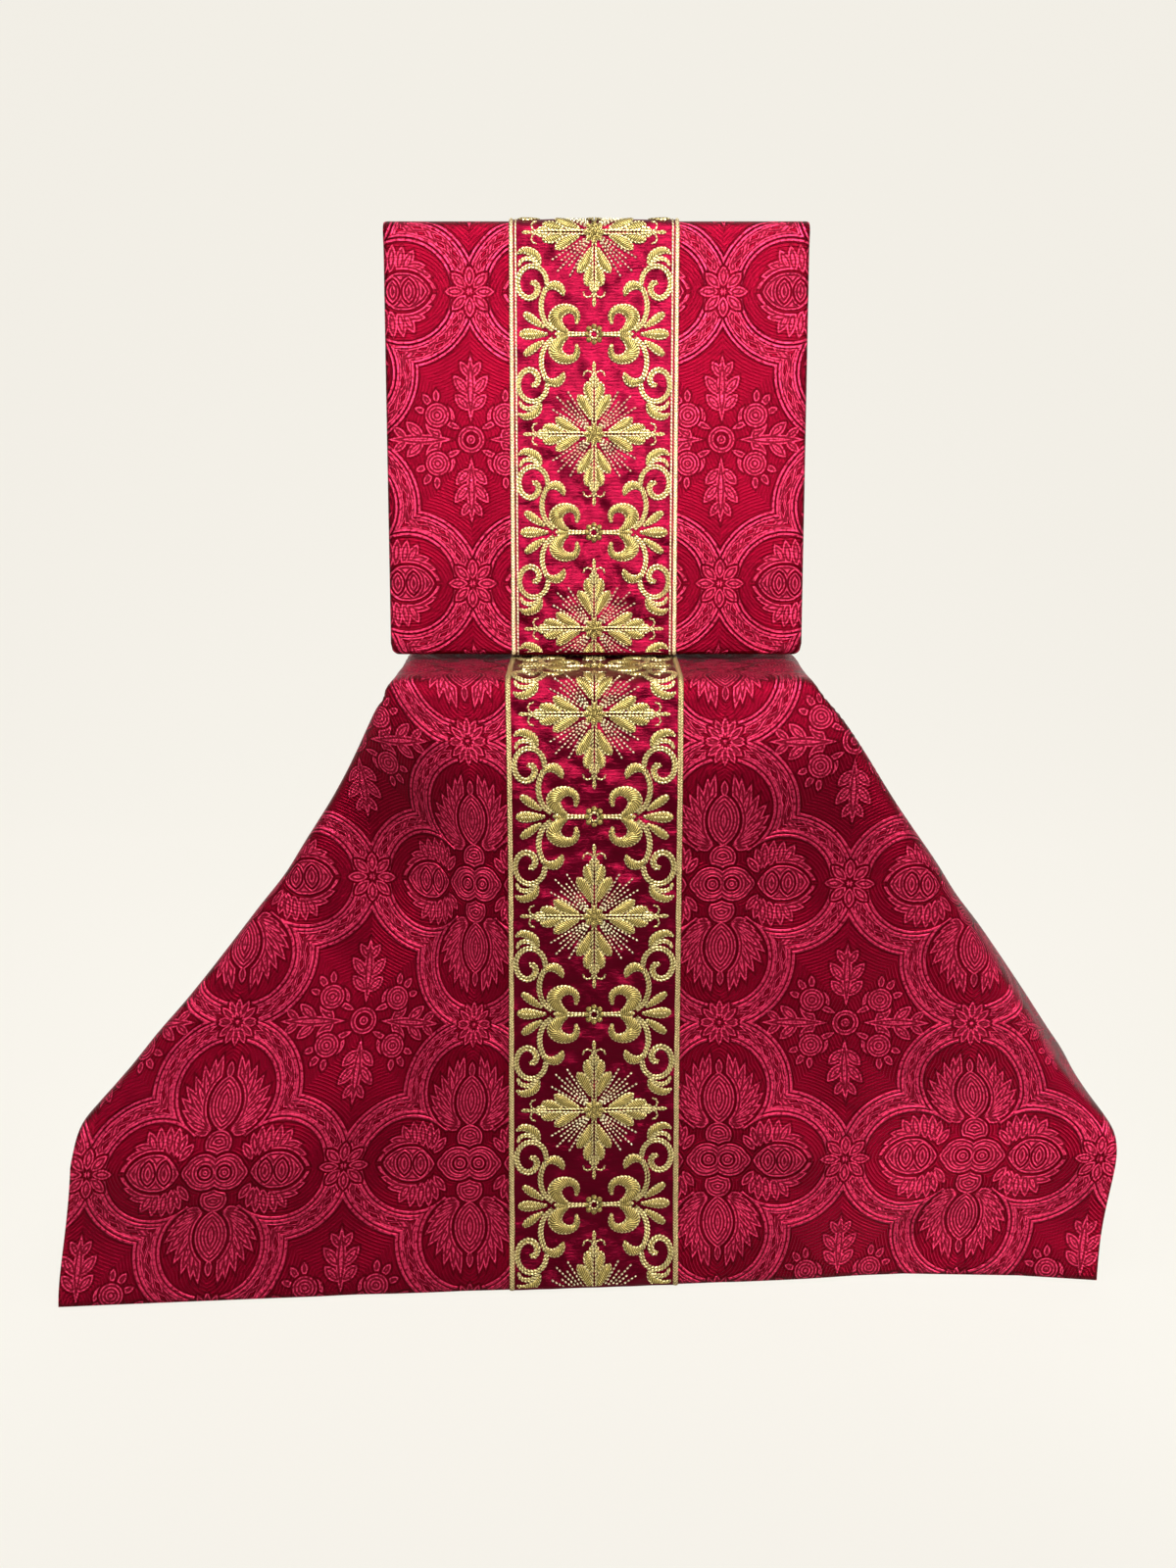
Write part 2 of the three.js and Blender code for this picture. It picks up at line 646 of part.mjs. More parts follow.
function roundedBoard(width, depth, thick, corner, rounding) {
  const x = width / 2 - rounding;
  const y = depth / 2 - rounding;
  const shape = new THREE.Shape();
  shape.moveTo(-x + corner, -y);
  shape.lineTo(x - corner, -y);
  shape.absarc(x - corner, -y + corner, corner, -Math.PI / 2, 0, false);
  shape.lineTo(x, y - corner);
  shape.absarc(x - corner, y - corner, corner, 0, Math.PI / 2, false);
  shape.lineTo(-x + corner, y);
  shape.absarc(-x + corner, y - corner, corner, Math.PI / 2, Math.PI, false);
  shape.lineTo(-x, -y + corner);
  shape.absarc(-x + corner, -y + corner, corner, Math.PI, 1.5 * Math.PI, false);
  return new THREE.ExtrudeGeometry(shape, {
    depth: thick - 2 * rounding,
    bevelEnabled: true,
    bevelThickness: rounding,
    bevelSize: rounding,
    bevelSegments: 1,
    curveSegments: 2,
  }).translate(0, 0, rounding);
}

const topWidth = HALF_TOP.right + HALF_TOP.left - 2 * STAND_INSET;
const topDepth = TOP_DEPTH - 2 * STAND_INSET;
const standBoard = roundedBoard(topWidth, topDepth, STAND_BOARD_THICK, STAND_CORNER, STAND_BOARD_ROUND);
add('stand_board', standBoard, WOOD).position.set(middleX, middleY, boardTop - STAND_BOARD_THICK);

const postLow = FOOT.thick + SEAM_GAP;
const postHigh = boardTop - STAND_BOARD_THICK - SEAM_GAP;
const post = new THREE.CylinderGeometry(POST_RADIUS, POST_RADIUS, postHigh - postLow, POST_SIDES);
post.rotateX(Math.PI / 2);
add('stand_post', post, WOOD).position.set(middleX, middleY, (postLow + postHigh) / 2);

const foot = roundedBoard(FOOT.width, FOOT.depth, FOOT.thick, STAND_CORNER, STAND_BOARD_ROUND / 2);
add('stand_foot', foot, WOOD).position.set(middleX, middleY, 0);

// ---------------------------------------------------------------- into its own frame
// The meshes are closed by shared points, and the origin is put below the middle of the
// part's box, on the surface that it stands on.
for (const mesh of group.children) {
  mesh.geometry.deleteAttribute('normal');
  mesh.geometry.deleteAttribute('uv');
  mesh.geometry = mergeVertices(mesh.geometry, 1e-4);
}
const box = new THREE.Box3().setFromObject(group, true);
group.position.set(-(box.min.x + box.max.x) / 2, -(box.min.y + box.max.y) / 2, -box.min.z);

export default group;
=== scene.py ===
"""A chalice veil and its burse on a small stand: the finish of every surface.

The veil is a square of crimson damask draped over the stand's top board. It is worked out
here from the same sizes as the CAD solid, as a finer shell with its small creases. The
burse is one stiff case of the same damask. Gold embroidery lies along one satin band on
each. Sizes are in millimetres until a mesh is made, where `to_metres` puts them in place.
"""
from math import atan2, ceil, cos, hypot, pi, radians, sin

import bpy
import numpy as np
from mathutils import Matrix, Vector


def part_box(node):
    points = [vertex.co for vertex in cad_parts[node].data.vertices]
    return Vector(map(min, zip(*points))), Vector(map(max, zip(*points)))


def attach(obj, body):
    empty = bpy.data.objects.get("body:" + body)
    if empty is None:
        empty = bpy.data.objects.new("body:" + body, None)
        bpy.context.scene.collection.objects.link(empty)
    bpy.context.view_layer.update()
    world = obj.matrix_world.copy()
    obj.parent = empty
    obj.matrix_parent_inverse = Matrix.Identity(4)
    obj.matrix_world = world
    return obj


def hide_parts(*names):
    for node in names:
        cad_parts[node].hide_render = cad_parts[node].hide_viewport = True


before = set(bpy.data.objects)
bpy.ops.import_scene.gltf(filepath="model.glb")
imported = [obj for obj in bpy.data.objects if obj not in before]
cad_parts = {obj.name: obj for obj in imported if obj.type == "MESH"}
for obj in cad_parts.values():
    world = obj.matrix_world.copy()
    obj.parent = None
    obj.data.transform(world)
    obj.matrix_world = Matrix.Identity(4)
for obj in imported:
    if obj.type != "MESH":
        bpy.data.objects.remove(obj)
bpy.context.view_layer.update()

# ---------- sizes, millimetres
VEIL_SIDE = 550.0
VEIL_WALL = 1.6
VEIL_TOP = 328.5
FRONT_DROP = 327.5
TOP_DEPTH = 145.0
HALF_TOP = {1: 113.0, -1: 105.0}

BAND_WIDTH = 89.0
VEIL_BAND_WIDTH = 90.6
BAND_WALL = 0.8
BRAID_WIDTH = 2.8
MOTIF_PITCH = 103.0
VEIL_MOTIF_SCALE = 1.03
FIRST_CROSS_DROP = 17.5
HEM_MARGIN = 1.5

BURSE_WIDTH = 223.0
BURSE_HEIGHT = 226.0
BURSE_LEAN = radians(4.5)
BURSE_FRONT_Y = 61.0
BURSE_SHIFT_X = 1.2
BURSE_FOOT = 331.5
BURSE_FIRST_CROSS = 14.0
BOARD_THICK = 5.0
BOARD_ROUND = 2.2
BOARD_CORNER = 5.0
HINGE_RADIUS = 6.2
HINGE_WALL = 1.8

# ---------- place of the part
# The post stands under the middle of the stand's board, which the drape knows.
post_low, post_high = (np.array(corner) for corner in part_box("stand_post"))
MIDDLE_X = (HALF_TOP[1]-HALF_TOP[-1])/2
MIDDLE_Y = TOP_DEPTH/2
SHIFT = np.array([
    (post_low[0]+post_high[0])/2-MIDDLE_X/1000,
    (post_low[1]+post_high[1])/2-MIDDLE_Y/1000,
    0.0,
])


def to_metres(points):
    return np.asarray(points)/1000+SHIFT


# ---------- drape of the veil
FRONT_FLARE = radians(3.5)
SIDE_FLARE = radians(4)
BACK_FLARE = radians(5)
FRONT_LEAVE = {1: radians(90+33.2), -1: radians(90+35.9)}
FRONT_JOIN = radians(200)
FRONT_TURNS = {
    1: [(0.55, 0.12, -0.82), (0.32, 0.20, -0.93), (-0.17, 0.12, -0.98), (-0.06, 0.24, -0.97)],
    -1: [(0.54, 0.16, -0.82), (0.32, 0.24, -0.93), (-0.14, 0.14, -0.98), (-0.04, 0.25, -0.97)],
}
BACK_LEAVE = radians(98)
BACK_JOIN = radians(176)
BACK_TURNS = [(0.22, 0.37, -0.90), (0.32, 0.59, -0.735), (0.36, 0.22, -0.90)]
RING_STEPS = 16
CENTRE_WEIGHT = 0.04
FOLD_RINGS = [(3, 0.23), (6, 0.37), (9, 0.33), (11.5, 0.1)]
HEM_ACROSS = [-1.0, -0.6, -0.25, 0.0, 0.3, 0.62, 0.85, 1.0]
HEM_BACK = [-20, -11, -4, 0, 6, 14, 12, 7]
# The front's left edge bows in above its corner. The right one swells out, and is drawn in
# again at the hem, as the left one is. The hem's last stretch kicks forward.
LEFT_BOW = 16.0
BOW_LENGTH = 255.0
RIGHT_SWELL = 6.8
RIGHT_DRAW = 9.2
LEFT_DRAW = 7.0
HEM_KICK = 5.0
KICK_LENGTH = 55.0


def unit(v):
    return v/np.linalg.norm(v, axis=-1, keepdims=True)


def smooth(x):
    x = np.clip(x, 0, 1)
    return x*x*(3-2*x)


def ramp(x, start, length):
    """0 up to a start, rising softly to 1 a length beyond it."""
    return smooth((x-start)/length)


def face_direction(angle, flare, way):
    """Straight down a front (way -1) or back (way 1) face, and towards its sides."""
    down = np.sin(angle)
    return np.stack([-np.cos(angle), way*down*sin(flare), -down*cos(flare)], -1)


def side_direction(angle, way):
    turn = 1.5*pi-angle
    down = np.sin(turn)
    return np.stack([down*sin(SIDE_FLARE), way*np.cos(turn), -down*cos(SIDE_FLARE)], -1)


def sphere_path(first, turns, last):
    """A smooth path over the unit sphere through these directions, at an even pace."""
    knots = unit(np.array([first, *turns, last]))
    knots = np.vstack([2*knots[0]-knots[1], knots, 2*knots[-1]-knots[-2]])
    share = np.linspace(0, 1, 60, endpoint=False)[:, None]
    stretch = []
    for a, b, c, d in zip(knots, knots[1:], knots[2:], knots[3:]):
        stretch.append(catmull_rom(a, b, c, d, share))
    path = unit(np.vstack([*stretch, knots[-2:-1]]))
    step = np.arccos(np.clip((path[1:]*path[:-1]).sum(1), -1, 1))
    run = np.concatenate([[0], np.cumsum(step)])
    even = np.linspace(0, run[-1], 400)
    return unit(np.stack([np.interp(even, run, path[:, k]) for k in range(3)], 1))


def catmull_rom(a, b, c, d, s):
    return 0.5*(2*b+(c-a)*s+(2*a-5*b+4*c-d)*s*s+(3*b-a-3*c+d)*s**3)


FRONT_PATHS = {
    side: sphere_path(
        face_direction(np.array(FRONT_LEAVE[side]), FRONT_FLARE, -1),
        FRONT_TURNS[side], side_direction(np.array(FRONT_JOIN), 1))
    for side in (1, -1)
}
BACK_PATH = sphere_path(
    face_direction(np.array(BACK_LEAVE), BACK_FLARE, 1),
    BACK_TURNS, side_direction(np.array(BACK_JOIN), -1))


def along_path(path, share):
    at = np.clip(share, 0, 1)*(len(path)-1)
    low = np.minimum(at.astype(int), len(path)-2)
    part = (at-low)[..., None]
    return path[low]*(1-part)+path[low+1]*part


def turned(past, down, leave, join, path, flare, way):
    """Place of the cloth about a corner, as a cone through the corner's path."""
    reach = np.hypot(past, down)
    angle = np.mod(np.arctan2(down, -past), 2*pi)
    direction = along_path(path, (angle-leave)/(join-leave))
    direction = np.where((angle <= leave)[..., None], face_direction(angle, flare, way), direction)
    direction = np.where((angle >= join)[..., None], side_direction(angle, -way), direction)
    return reach[..., None]*direction


def sharp_place(u, t):
    """The cloth with knife-sharp folds: u runs across and t from front to back."""
    place = np.zeros(u.shape+(3,))
    for side in (1, -1):
        half = HALF_TOP[side]
        past = side*u-half
        flat = np.stack([side*u, t, np.full_like(u, VEIL_TOP)], -1)
        front = turned(past, -t, FRONT_LEAVE[side], FRONT_JOIN, FRONT_PATHS[side], FRONT_FLARE, -1)
        back = turned(past, t-TOP_DEPTH, BACK_LEAVE, BACK_JOIN, BACK_PATH, BACK_FLARE, 1)
        front += (half, 0, VEIL_TOP)
        back += (half, TOP_DEPTH, VEIL_TOP)
        here = np.where(((t < 0) | (past > 0))[..., None], front, flat)
        here = np.where((t > TOP_DEPTH)[..., None], back, here)
        here[..., 0] *= side
        mine = u >= 0 if side == 1 else u < 0
        place[mine] = here[mine]
    return place


def soft_place(u, t):
    """The folds are rounded by averaging the sharp cloth over rings around each point."""
    total = sharp_place(u, t)*CENTRE_WEIGHT
    weights = CENTRE_WEIGHT
    for index, (radius, weight) in enumerate(FOLD_RINGS):
        for k in range(RING_STEPS):
            angle = 2*pi*(k+index/len(FOLD_RINGS))/RING_STEPS
            near = sharp_place(u+radius*cos(angle), t+radius*sin(angle))
            total += near*weight/RING_STEPS
        weights += weight
    return total/weights


def settled(place, u, t):
    """The front sways: its left edge bows, and the hem wanders back and kicks forward."""
    drop = np.clip(-t, 0, None)
    low = np.clip(drop/FRONT_DROP, 0, 1)
    left = ramp(-u, 30, 110)
    left_edge, right_edge = ramp(-u, 60, 200), ramp(u, 60, 200)
    bow = LEFT_BOW*np.sin(pi*np.clip(drop/BOW_LENGTH, 0, 1)**0.8)
    kick = ramp(drop, FRONT_DROP-KICK_LENGTH, KICK_LENGTH)
    out = place.copy()
    out[..., 0] += bow*left
    out[..., 1] += bow*left*left+np.interp(2*u/VEIL_SIDE, HEM_ACROSS, HEM_BACK)*low*low
    out[..., 0] += right_edge*(RIGHT_SWELL*ramp(drop, 200, 45)-RIGHT_DRAW*ramp(drop, 238, 90))
    out[..., 0] -= LEFT_DRAW*left_edge*ramp(drop, 245, 80)
    out[..., 1] -= HEM_KICK*kick*kick
    return out


# Soft creases of the damask, each a long trough (depth below 0) or ridge in the flat cloth.
# A row is its middle (across, and down from the front fold), the way that it runs in degrees
# from across, about half its length and half its width, and its depth. The broad ones come
# first, and those behind the front fold are last.
CREASES = [
    (-92, 42, -8, 55, 36, 5.4),
    (96, 44, 9, 60, 36, 5.6),
    (-85, 130, -62, 100, 40, -5.5),
    (88, 140, 60, 105, 42, -5.8),
    (-215, 262, -14, 66, 30, 4.6),
    (-120, 262, 12, 50, 28, -3.8),
    (108, 250, -22, 44, 20, 3.6),
    (150, 285, 14, 66, 24, 4.2),
    (215, 236, 34, 64, 28, -4.2),
    (-150, 150, -52, 120, 16, -1.6),
    (-190, 235, -40, 90, 15, 1.5),
    (-95, 60, -62, 60, 11, 1.0),
    (-110, 255, 78, 90, 14, -1.5),
    (95, 70, 60, 62, 11, 1.0),
    (155, 165, 50, 120, 16, -1.7),
    (120, 240, -74, 90, 17, -1.6),
    (205, 250, 38, 85, 14, 1.5),
    (75, 300, 8, 70, 12, 1.2),
    (-60, 205, 86, 110, 9, -0.8),
    (60, 215, -87, 105, 9, -0.8),
    (-160, -60, 4, 60, 13, -1.1),
    (165, -75, -5, 60, 13, 1.1),
    (-70, -190, 84, 40, 11, -1.0),
    (80, -195, -80, 40, 12, 1.0),
    (-100, -175, 10, 50, 30, 2.4),
    (95, -180, -12, 50, 30, 2.6),
]


def crease_lift(u, t):
    lift = np.zeros_like(u)
    for across, down, runs, long, wide, depth in CREASES:
        du = u-across
        dt = t+down
        way = radians(runs)
        along = (du*cos(way)+dt*sin(way))/long
        aside = (dt*cos(way)-du*sin(way))/wide
        lift += depth*np.exp(-along**2-aside**2)
    return lift


def grid_normals(place):
    along, across = np.gradient(place, axis=0), np.gradient(place, axis=1)
    return unit(np.cross(across, along))


# The veil is worked out once on an even grid, and everything on it is read from there.
VEIL_CELLS = 200
veil_u = np.linspace(-VEIL_SIDE/2, VEIL_SIDE/2, VEIL_CELLS+1)
veil_t = np.linspace(-FRONT_DROP, VEIL_SIDE-FRONT_DROP, VEIL_CELLS+1)
grid_u, grid_t = np.meshgrid(veil_u, veil_t)
veil_grid = settled(soft_place(grid_u, grid_t), grid_u, grid_t)
veil_grid += grid_normals(veil_grid)*crease_lift(grid_u, grid_t)[..., None]
veil_normals = grid_normals(veil_grid)


def read_grid(values, u, t):
    x = np.clip((u-veil_u[0])/(veil_u[1]-veil_u[0]), 0, VEIL_CELLS-1e-6)
    y = np.clip((t-veil_t[0])/(veil_t[1]-veil_t[0]), 0, VEIL_CELLS-1e-6)
    i, j = x.astype(int), y.astype(int)
    a, b = (x-i)[..., None], (y-j)[..., None]
    low = values[j, i]*(1-a)+values[j, i+1]*a
    high = values[j+1, i]*(1-a)+values[j+1, i+1]*a
    return low*(1-b)+high*b


def on_veil(u, t, lift):
    u, t, lift = np.broadcast_arrays(*(np.asarray(x, float) for x in (u, t, lift)))
    return read_grid(veil_grid, u, t)+unit(read_grid(veil_normals, u, t))*lift[..., None]


# ---------- shape of the burse
# Its outer face climbs the front board, rounds the hinge and comes down the back board.
BOARD_HEIGHT = (BURSE_HEIGHT-HINGE_RADIUS)/cos(BURSE_LEAN)
HINGE_TURN = pi-2*BURSE_LEAN
HINGE_RUN = HINGE_RADIUS*HINGE_TURN
BURSE_RUN = 2*BOARD_HEIGHT+HINGE_RUN


def on_burse(x, h, lift):
    x, h, lift = np.broadcast_arrays(*(np.asarray(v, float) for v in (x, h, lift)))
    hinge = np.clip((h-BOARD_HEIGHT)/HINGE_RADIUS, 0, HINGE_TURN)
    tilt = BURSE_LEAN+hinge
    straight = h-BOARD_HEIGHT-hinge*HINGE_RADIUS
    head_y = BURSE_FRONT_Y+BOARD_HEIGHT*sin(BURSE_LEAN)+HINGE_RADIUS*cos(BURSE_LEAN)
    head_z = BURSE_FOOT+BOARD_HEIGHT*cos(BURSE_LEAN)-HINGE_RADIUS*sin(BURSE_LEAN)
    y = head_y-(HINGE_RADIUS+lift)*np.cos(tilt)+straight*np.sin(tilt)
    z = head_z+(HINGE_RADIUS+lift)*np.sin(tilt)+straight*np.cos(tilt)
    return np.stack([x+BURSE_SHIFT_X, y, z], -1)


# ---------- meshes
def make_piece(name, points, faces, cloth, face_slots):
    """A mesh object from points in millimetres. cloth is where each lies in the flat cloth."""
    mesh = bpy.data.meshes.new(name)
    points = to_metres(points).astype(np.float32)
    faces = [np.asarray(group, np.int32) for group in faces if len(group)]
    loops = np.concatenate([group.ravel() for group in faces])
    sizes = np.concatenate([np.full(len(group), group.shape[1], np.int32) for group in faces])
    mesh.vertices.add(len(points))
    mesh.vertices.foreach_set("co", points.ravel())
    mesh.loops.add(len(loops))
    mesh.loops.foreach_set("vertex_index", loops)
    mesh.polygons.add(len(sizes))
    mesh.polygons.foreach_set("loop_start", np.concatenate([[0], np.cumsum(sizes)[:-1]]).astype(np.int32))
    mesh.polygons.foreach_set("loop_total", sizes)
    mesh.update(calc_edges=True)
    layer = mesh.uv_layers.new(name="flat_mm")
    layer.uv.foreach_set("vector", np.asarray(cloth)[loops].astype(np.float32).ravel())
    mesh.polygons.foreach_set("material_index", np.asarray(face_slots, np.int32))
    mesh.polygons.foreach_set("use_smooth", np.full(len(sizes), True))
    mesh.update()
    piece = bpy.data.objects.new(name, mesh)
    bpy.context.scene.collection.objects.link(piece)
    return piece


def two_faces(index):
    """The squares of a grid of point numbers, and the same squares seen from behind."""
    a, b, c, d = index[:-1, :-1], index[:-1, 1:], index[1:, 1:], index[1:, :-1]
    return np.stack([a, b, c, d], -1).reshape(-1, 4), np.stack([a, d, c, b], -1).reshape(-1, 4)


def wall(name, surface, across, along, low, high):
    """A closed wall of cloth between two lifts off a surface, over a grid of lines."""
    u, t = np.meshgrid(across, along)
    wide, long = len(across), len(along)
    top = surface(u, t, high(u, t) if callable(high) else high).reshape(-1, 3)
    under = surface(u, t, low).reshape(-1, 3)
    count = wide*long
    index = np.arange(count).reshape(long, wide)
    upper, lower = two_faces(index)
    lower += count
    rim = np.concatenate([index[0, :-1], index[:-1, -1], index[-1, :0:-1], index[:0:-1, 0]])
    after = np.roll(rim, -1)
    skirt = np.stack([rim, rim+count, after+count, after], -1)
    cloth = np.stack([u, t], -1).reshape(-1, 2)
    slots = np.repeat([0, 1, 1], [len(upper), len(lower), len(skirt)])
    return make_piece(
        name, np.vstack([top, under]), [upper, lower, skirt], np.vstack([cloth, cloth]), slots)


def dress(piece, materials, replaces=()):
    for material in materials:
        piece.data.materials.append(material)
    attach(piece, "root")
    if replaces:
        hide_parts(*replaces)
    return piece


# ---------- patterns in materials
class Sum:
    """A number that a material's nodes work out, so that a pattern reads as arithmetic."""

    def __init__(self, tree, socket):
        self.tree = tree
        self.socket = socket

    def maths(self, operation, *others, clamp=False):
        node = self.tree.nodes.new("ShaderNodeMath")
        node.operation = operation
        node.use_clamp = clamp
        for place, value in zip(node.inputs, (self, *others)):
            plug(self.tree, place, value)
        return Sum(self.tree, node.outputs[0])

    def __add__(self, other):
        return self.maths("ADD", other)

    def __sub__(self, other):
        return self.maths("SUBTRACT", other)

    def __mul__(self, other):
        return self.maths("MULTIPLY", other)

    def plus_times(self, factor, extra):
        return self.maths("MULTIPLY_ADD", factor, extra)

    def most(self, *others):
        top = self
        for other in others:
            top = top.maths("MAXIMUM", other)
        return top

    def least(self, other):
        return self.maths("MINIMUM", other)

    def size(self):
        return self.maths("ABSOLUTE")

    def bounce(self, width):
        return self.maths("PINGPONG", width)

    def wave(self, pitch):
        """From -1 to 1, and 1 at every multiple of the pitch."""
        return (self*(2*pi/pitch)).maths("COSINE")

    def step(self, low, high):
        """0 below low and 1 above high."""
        return self.maths("MULTIPLY_ADD", 1/(high-low), -low/(high-low), clamp=True)


def plug(tree, place, value):
    if isinstance(value, Sum):
        tree.links.new(value.socket, place)
    elif hasattr(value, "is_output"):
        tree.links.new(value, place)
    else:
        place.default_value = value


class Finish:
    """One procedural material, and the nodes that its pattern is made of."""

    def __init__(self, name):
        self.material = bpy.data.materials.new(name)
        self.material.use_nodes = True
        self.tree = self.material.node_tree
        self.shader = self.tree.nodes["Principled BSDF"]

    def cloth(self):
        """Where a point lies in the flat cloth, in millimetres: across and along."""
        node = self.tree.nodes.new("ShaderNodeUVMap")
        node.uv_map = "flat_mm"
        return node.outputs[0]

    def place(self):
        return self.tree.nodes.new("ShaderNodeTexCoord").outputs["Object"]

    def split(self, vector):
        node = self.tree.nodes.new("ShaderNodeSeparateXYZ")
        self.tree.links.new(vector, node.inputs[0])
        return [Sum(self.tree, socket) for socket in node.outputs]

    def join(self, x, y):
        node = self.tree.nodes.new("ShaderNodeCombineXYZ")
        plug(self.tree, node.inputs[0], x)
        plug(self.tree, node.inputs[1], y)
        return node.outputs[0]

    def vector(self, operation, first, second=None):
        node = self.tree.nodes.new("ShaderNodeVectorMath")
        node.operation = operation
        plug(self.tree, node.inputs[0], first)
        if second is not None:
            plug(self.tree, node.inputs[1], second)
        return node

    def noise(self, vector, scale, detail=2.0):
        """About 0.5 on average. scale is in cycles a unit of the vector, one for each axis."""
        node = self.tree.nodes.new("ShaderNodeTexNoise")
        spread = self.vector("MULTIPLY", vector, (*scale, 1.0)[:3]).outputs[0]
        self.tree.links.new(spread, node.inputs["Vector"])
        node.inputs["Scale"].default_value = 1.0
        node.inputs["Detail"].default_value = detail
        return Sum(self.tree, node.outputs[0])

    def mix(self, share, low, high):
        node = self.tree.nodes.new("ShaderNodeMix")
        node.data_type = "RGBA"
        plug(self.tree, node.inputs["Factor"], share)
        for place, value in ((node.inputs[6], low), (node.inputs[7], high)):
            plug(self.tree, place, (*value, 1.0) if isinstance(value, tuple) else value)
        return node.outputs[2]

    def raise_by(self, height, depth):
        """Relief: height is about 0 to 1, and depth is in metres at a height of 1."""
        node = self.tree.nodes.new("ShaderNodeBump")
        node.inputs["Distance"].default_value = depth
        node.inputs["Strength"].default_value = 1.0
        plug(self.tree, node.inputs["Height"], height)
        self.tree.links.new(node.outputs[0], self.shader.inputs["Normal"])

    def give(self, **values):
        """Sets or links the shader's own sockets, as in give(Base_Color=...)."""
        for name, value in values.items():
            place = self.shader.inputs[name.replace("_", " ")]
            plug(self.tree, place, (*value, 1.0) if isinstance(value, tuple) else value)
        return self


# The damask's figure repeats in cells. A cell's quarter is drawn, from the middle of its
# medallion, and mirrored both ways.
CELL_HALF_WIDE = 66.5
CELL_HALF_HIGH = 76.0
MEDALLION_ACROSS = 66.5
MEDALLION_DOWN = 107.3
LINE_PITCH = 1.75


class Figure:
    """Shapes of a damask, each above 0 inside and about as high as its edge is far."""

    def __init__(self, finish, point):
        self.finish = finish
        self.tree = finish.tree
        self.point = point

    def away(self, x, y):
        return Sum(self.tree, self.finish.vector("DISTANCE", self.point, (x, y, 0)).outputs["Value"])

    def disc(self, x, y, radius):
        return self.away(x, y).plus_times(-1, radius)

    def ring(self, x, y, radius, half_wide):
        return (self.away(x, y)-radius).size().plus_times(-1, half_wide)

    def leaf(self, x0, y0, x1, y1, half_wide):
        """A pointed leaf between two tips."""
        long = hypot(x1-x0, y1-y0)
        bend = (long*long/4+half_wide**2)/(2*half_wide)
        turn = self.tree.nodes.new("ShaderNodeMapping")
        turn.vector_type = "TEXTURE"
        turn.inputs["Location"].default_value = ((x0+x1)/2, (y0+y1)/2, 0)
        turn.inputs["Rotation"].default_value = (0, 0, atan2(y1-y0, x1-x0))
        self.tree.links.new(self.point, turn.inputs["Vector"])
        folded = self.finish.vector("ABSOLUTE", turn.outputs[0]).outputs[0]
        centre = (0, half_wide-bend, 0)
        away = self.finish.vector("DISTANCE", folded, centre).outputs["Value"]
        return Sum(self.tree, away).plus_times(-1, bend)

    def leaves(self, rows):
        """Many leaves, a row of x0, y0, x1, y1 and half width for each."""
        shape = self.leaf(*rows[0])
        for row in rows[1:]:
            shape = shape.most(self.leaf(*row))
        return shape

    def cord(self, line, half_wide=0.75):
        """A narrow line where another shape's height is 0."""
        return line.size().plus_times(-1, half_wide)

    def cleared(self, shape, other, gap):
        """A shape that ends a gap away from another one."""
        return shape.least(other*-1-gap)


# Leaves as two tips, x0, y0 and x1, y1, and the half width between them.
PALMETTE_LEAVES = [
    (8.6, 33, 4.8, 59.5, 2.6), (8.6, 31, 8.6, 57.5, 2.6), (6.5, 26, 13.8, 54.5, 3.0),
    (6, 24, 18.0, 49.0, 3.0), (5, 22.5, 22.2, 44, 3.2), (5, 21.5, 23.8, 38, 3.0),
    (5, 21, 22.4, 31.6, 2.8), (5, 20.5, 18.6, 25.6, 2.4), (5, 19.8, 13.6, 20, 1.8),
]
ACANTHUS_LEAVES = [
    (19, 6, 12.8, 14.8, 2.4), (20.5, 8, 17.2, 19.8, 2.4), (22, 8, 21.6, 23.2, 2.6),
    (25, 9, 26.4, 24, 2.6), (29, 9, 31.6, 23.4, 2.6), (31, 9, 37.4, 21.2, 2.8),
    (31, 12.5, 43.6, 13.2, 2.6), (33, 11.5, 47, 7.4, 2.6), (38, 8, 49, 1.4, 2.4),
]
STAR_LEAVES = [
    (64, 0, 53.5, 0, 2.7), (64.6, 1.9, 57.1, 9.4, 2.7), (66.5, 2.5, 66.5, 13, 2.7),
    (0, 73.5, 0, 63.5, 1.9), (1.2, 74, 5, 64.8, 1.9), (2, 75, 8.8, 68.4, 2.0), (2.5, 76, 10, 75, 2.0),
]
SPRIG_LEAVES = [
    (66.5, 67, 66.5, 32, 2.7), (66, 61, 58.2, 52.5, 2.9), (66, 53.5, 57.4, 42.8, 3.0),
    (66.3, 44, 61, 35.6, 2.3), (57, 76, 22, 76, 2.8), (51, 75.5, 42.4, 67.2, 2.8),
    (41.5, 75.5, 32, 66.8, 2.9), (32.6, 75.7, 25, 69.4, 2.2), (45.4, 58.6, 41.2, 52.4, 2.0),
    (48.4, 57, 48, 50, 1.8), (43, 62, 36.8, 59.6, 1.8), (61, 70.5, 52, 66.5, 1.6),
    (57.6, 66.6, 54.4, 58.6, 1.6),
]


# A medallion's frame is four lobes joined over its heart. One cord lies on its line, and
# three outside it, with a band of slanting leaves in the middle.
SIDE_LOBE = 31.5
TOP_LOBE = 41.0
LOBE_RADIUS = 26.2
HEART_RADIUS = 23.0
OUTER_CORDS = [2.2, 10.0, 12.2]
LEAF_BAND = 6.1
LEAF_BAND_HALF = 3.1
LEAF_PITCH = 8.6
FRAME_RADIUS = 46.0


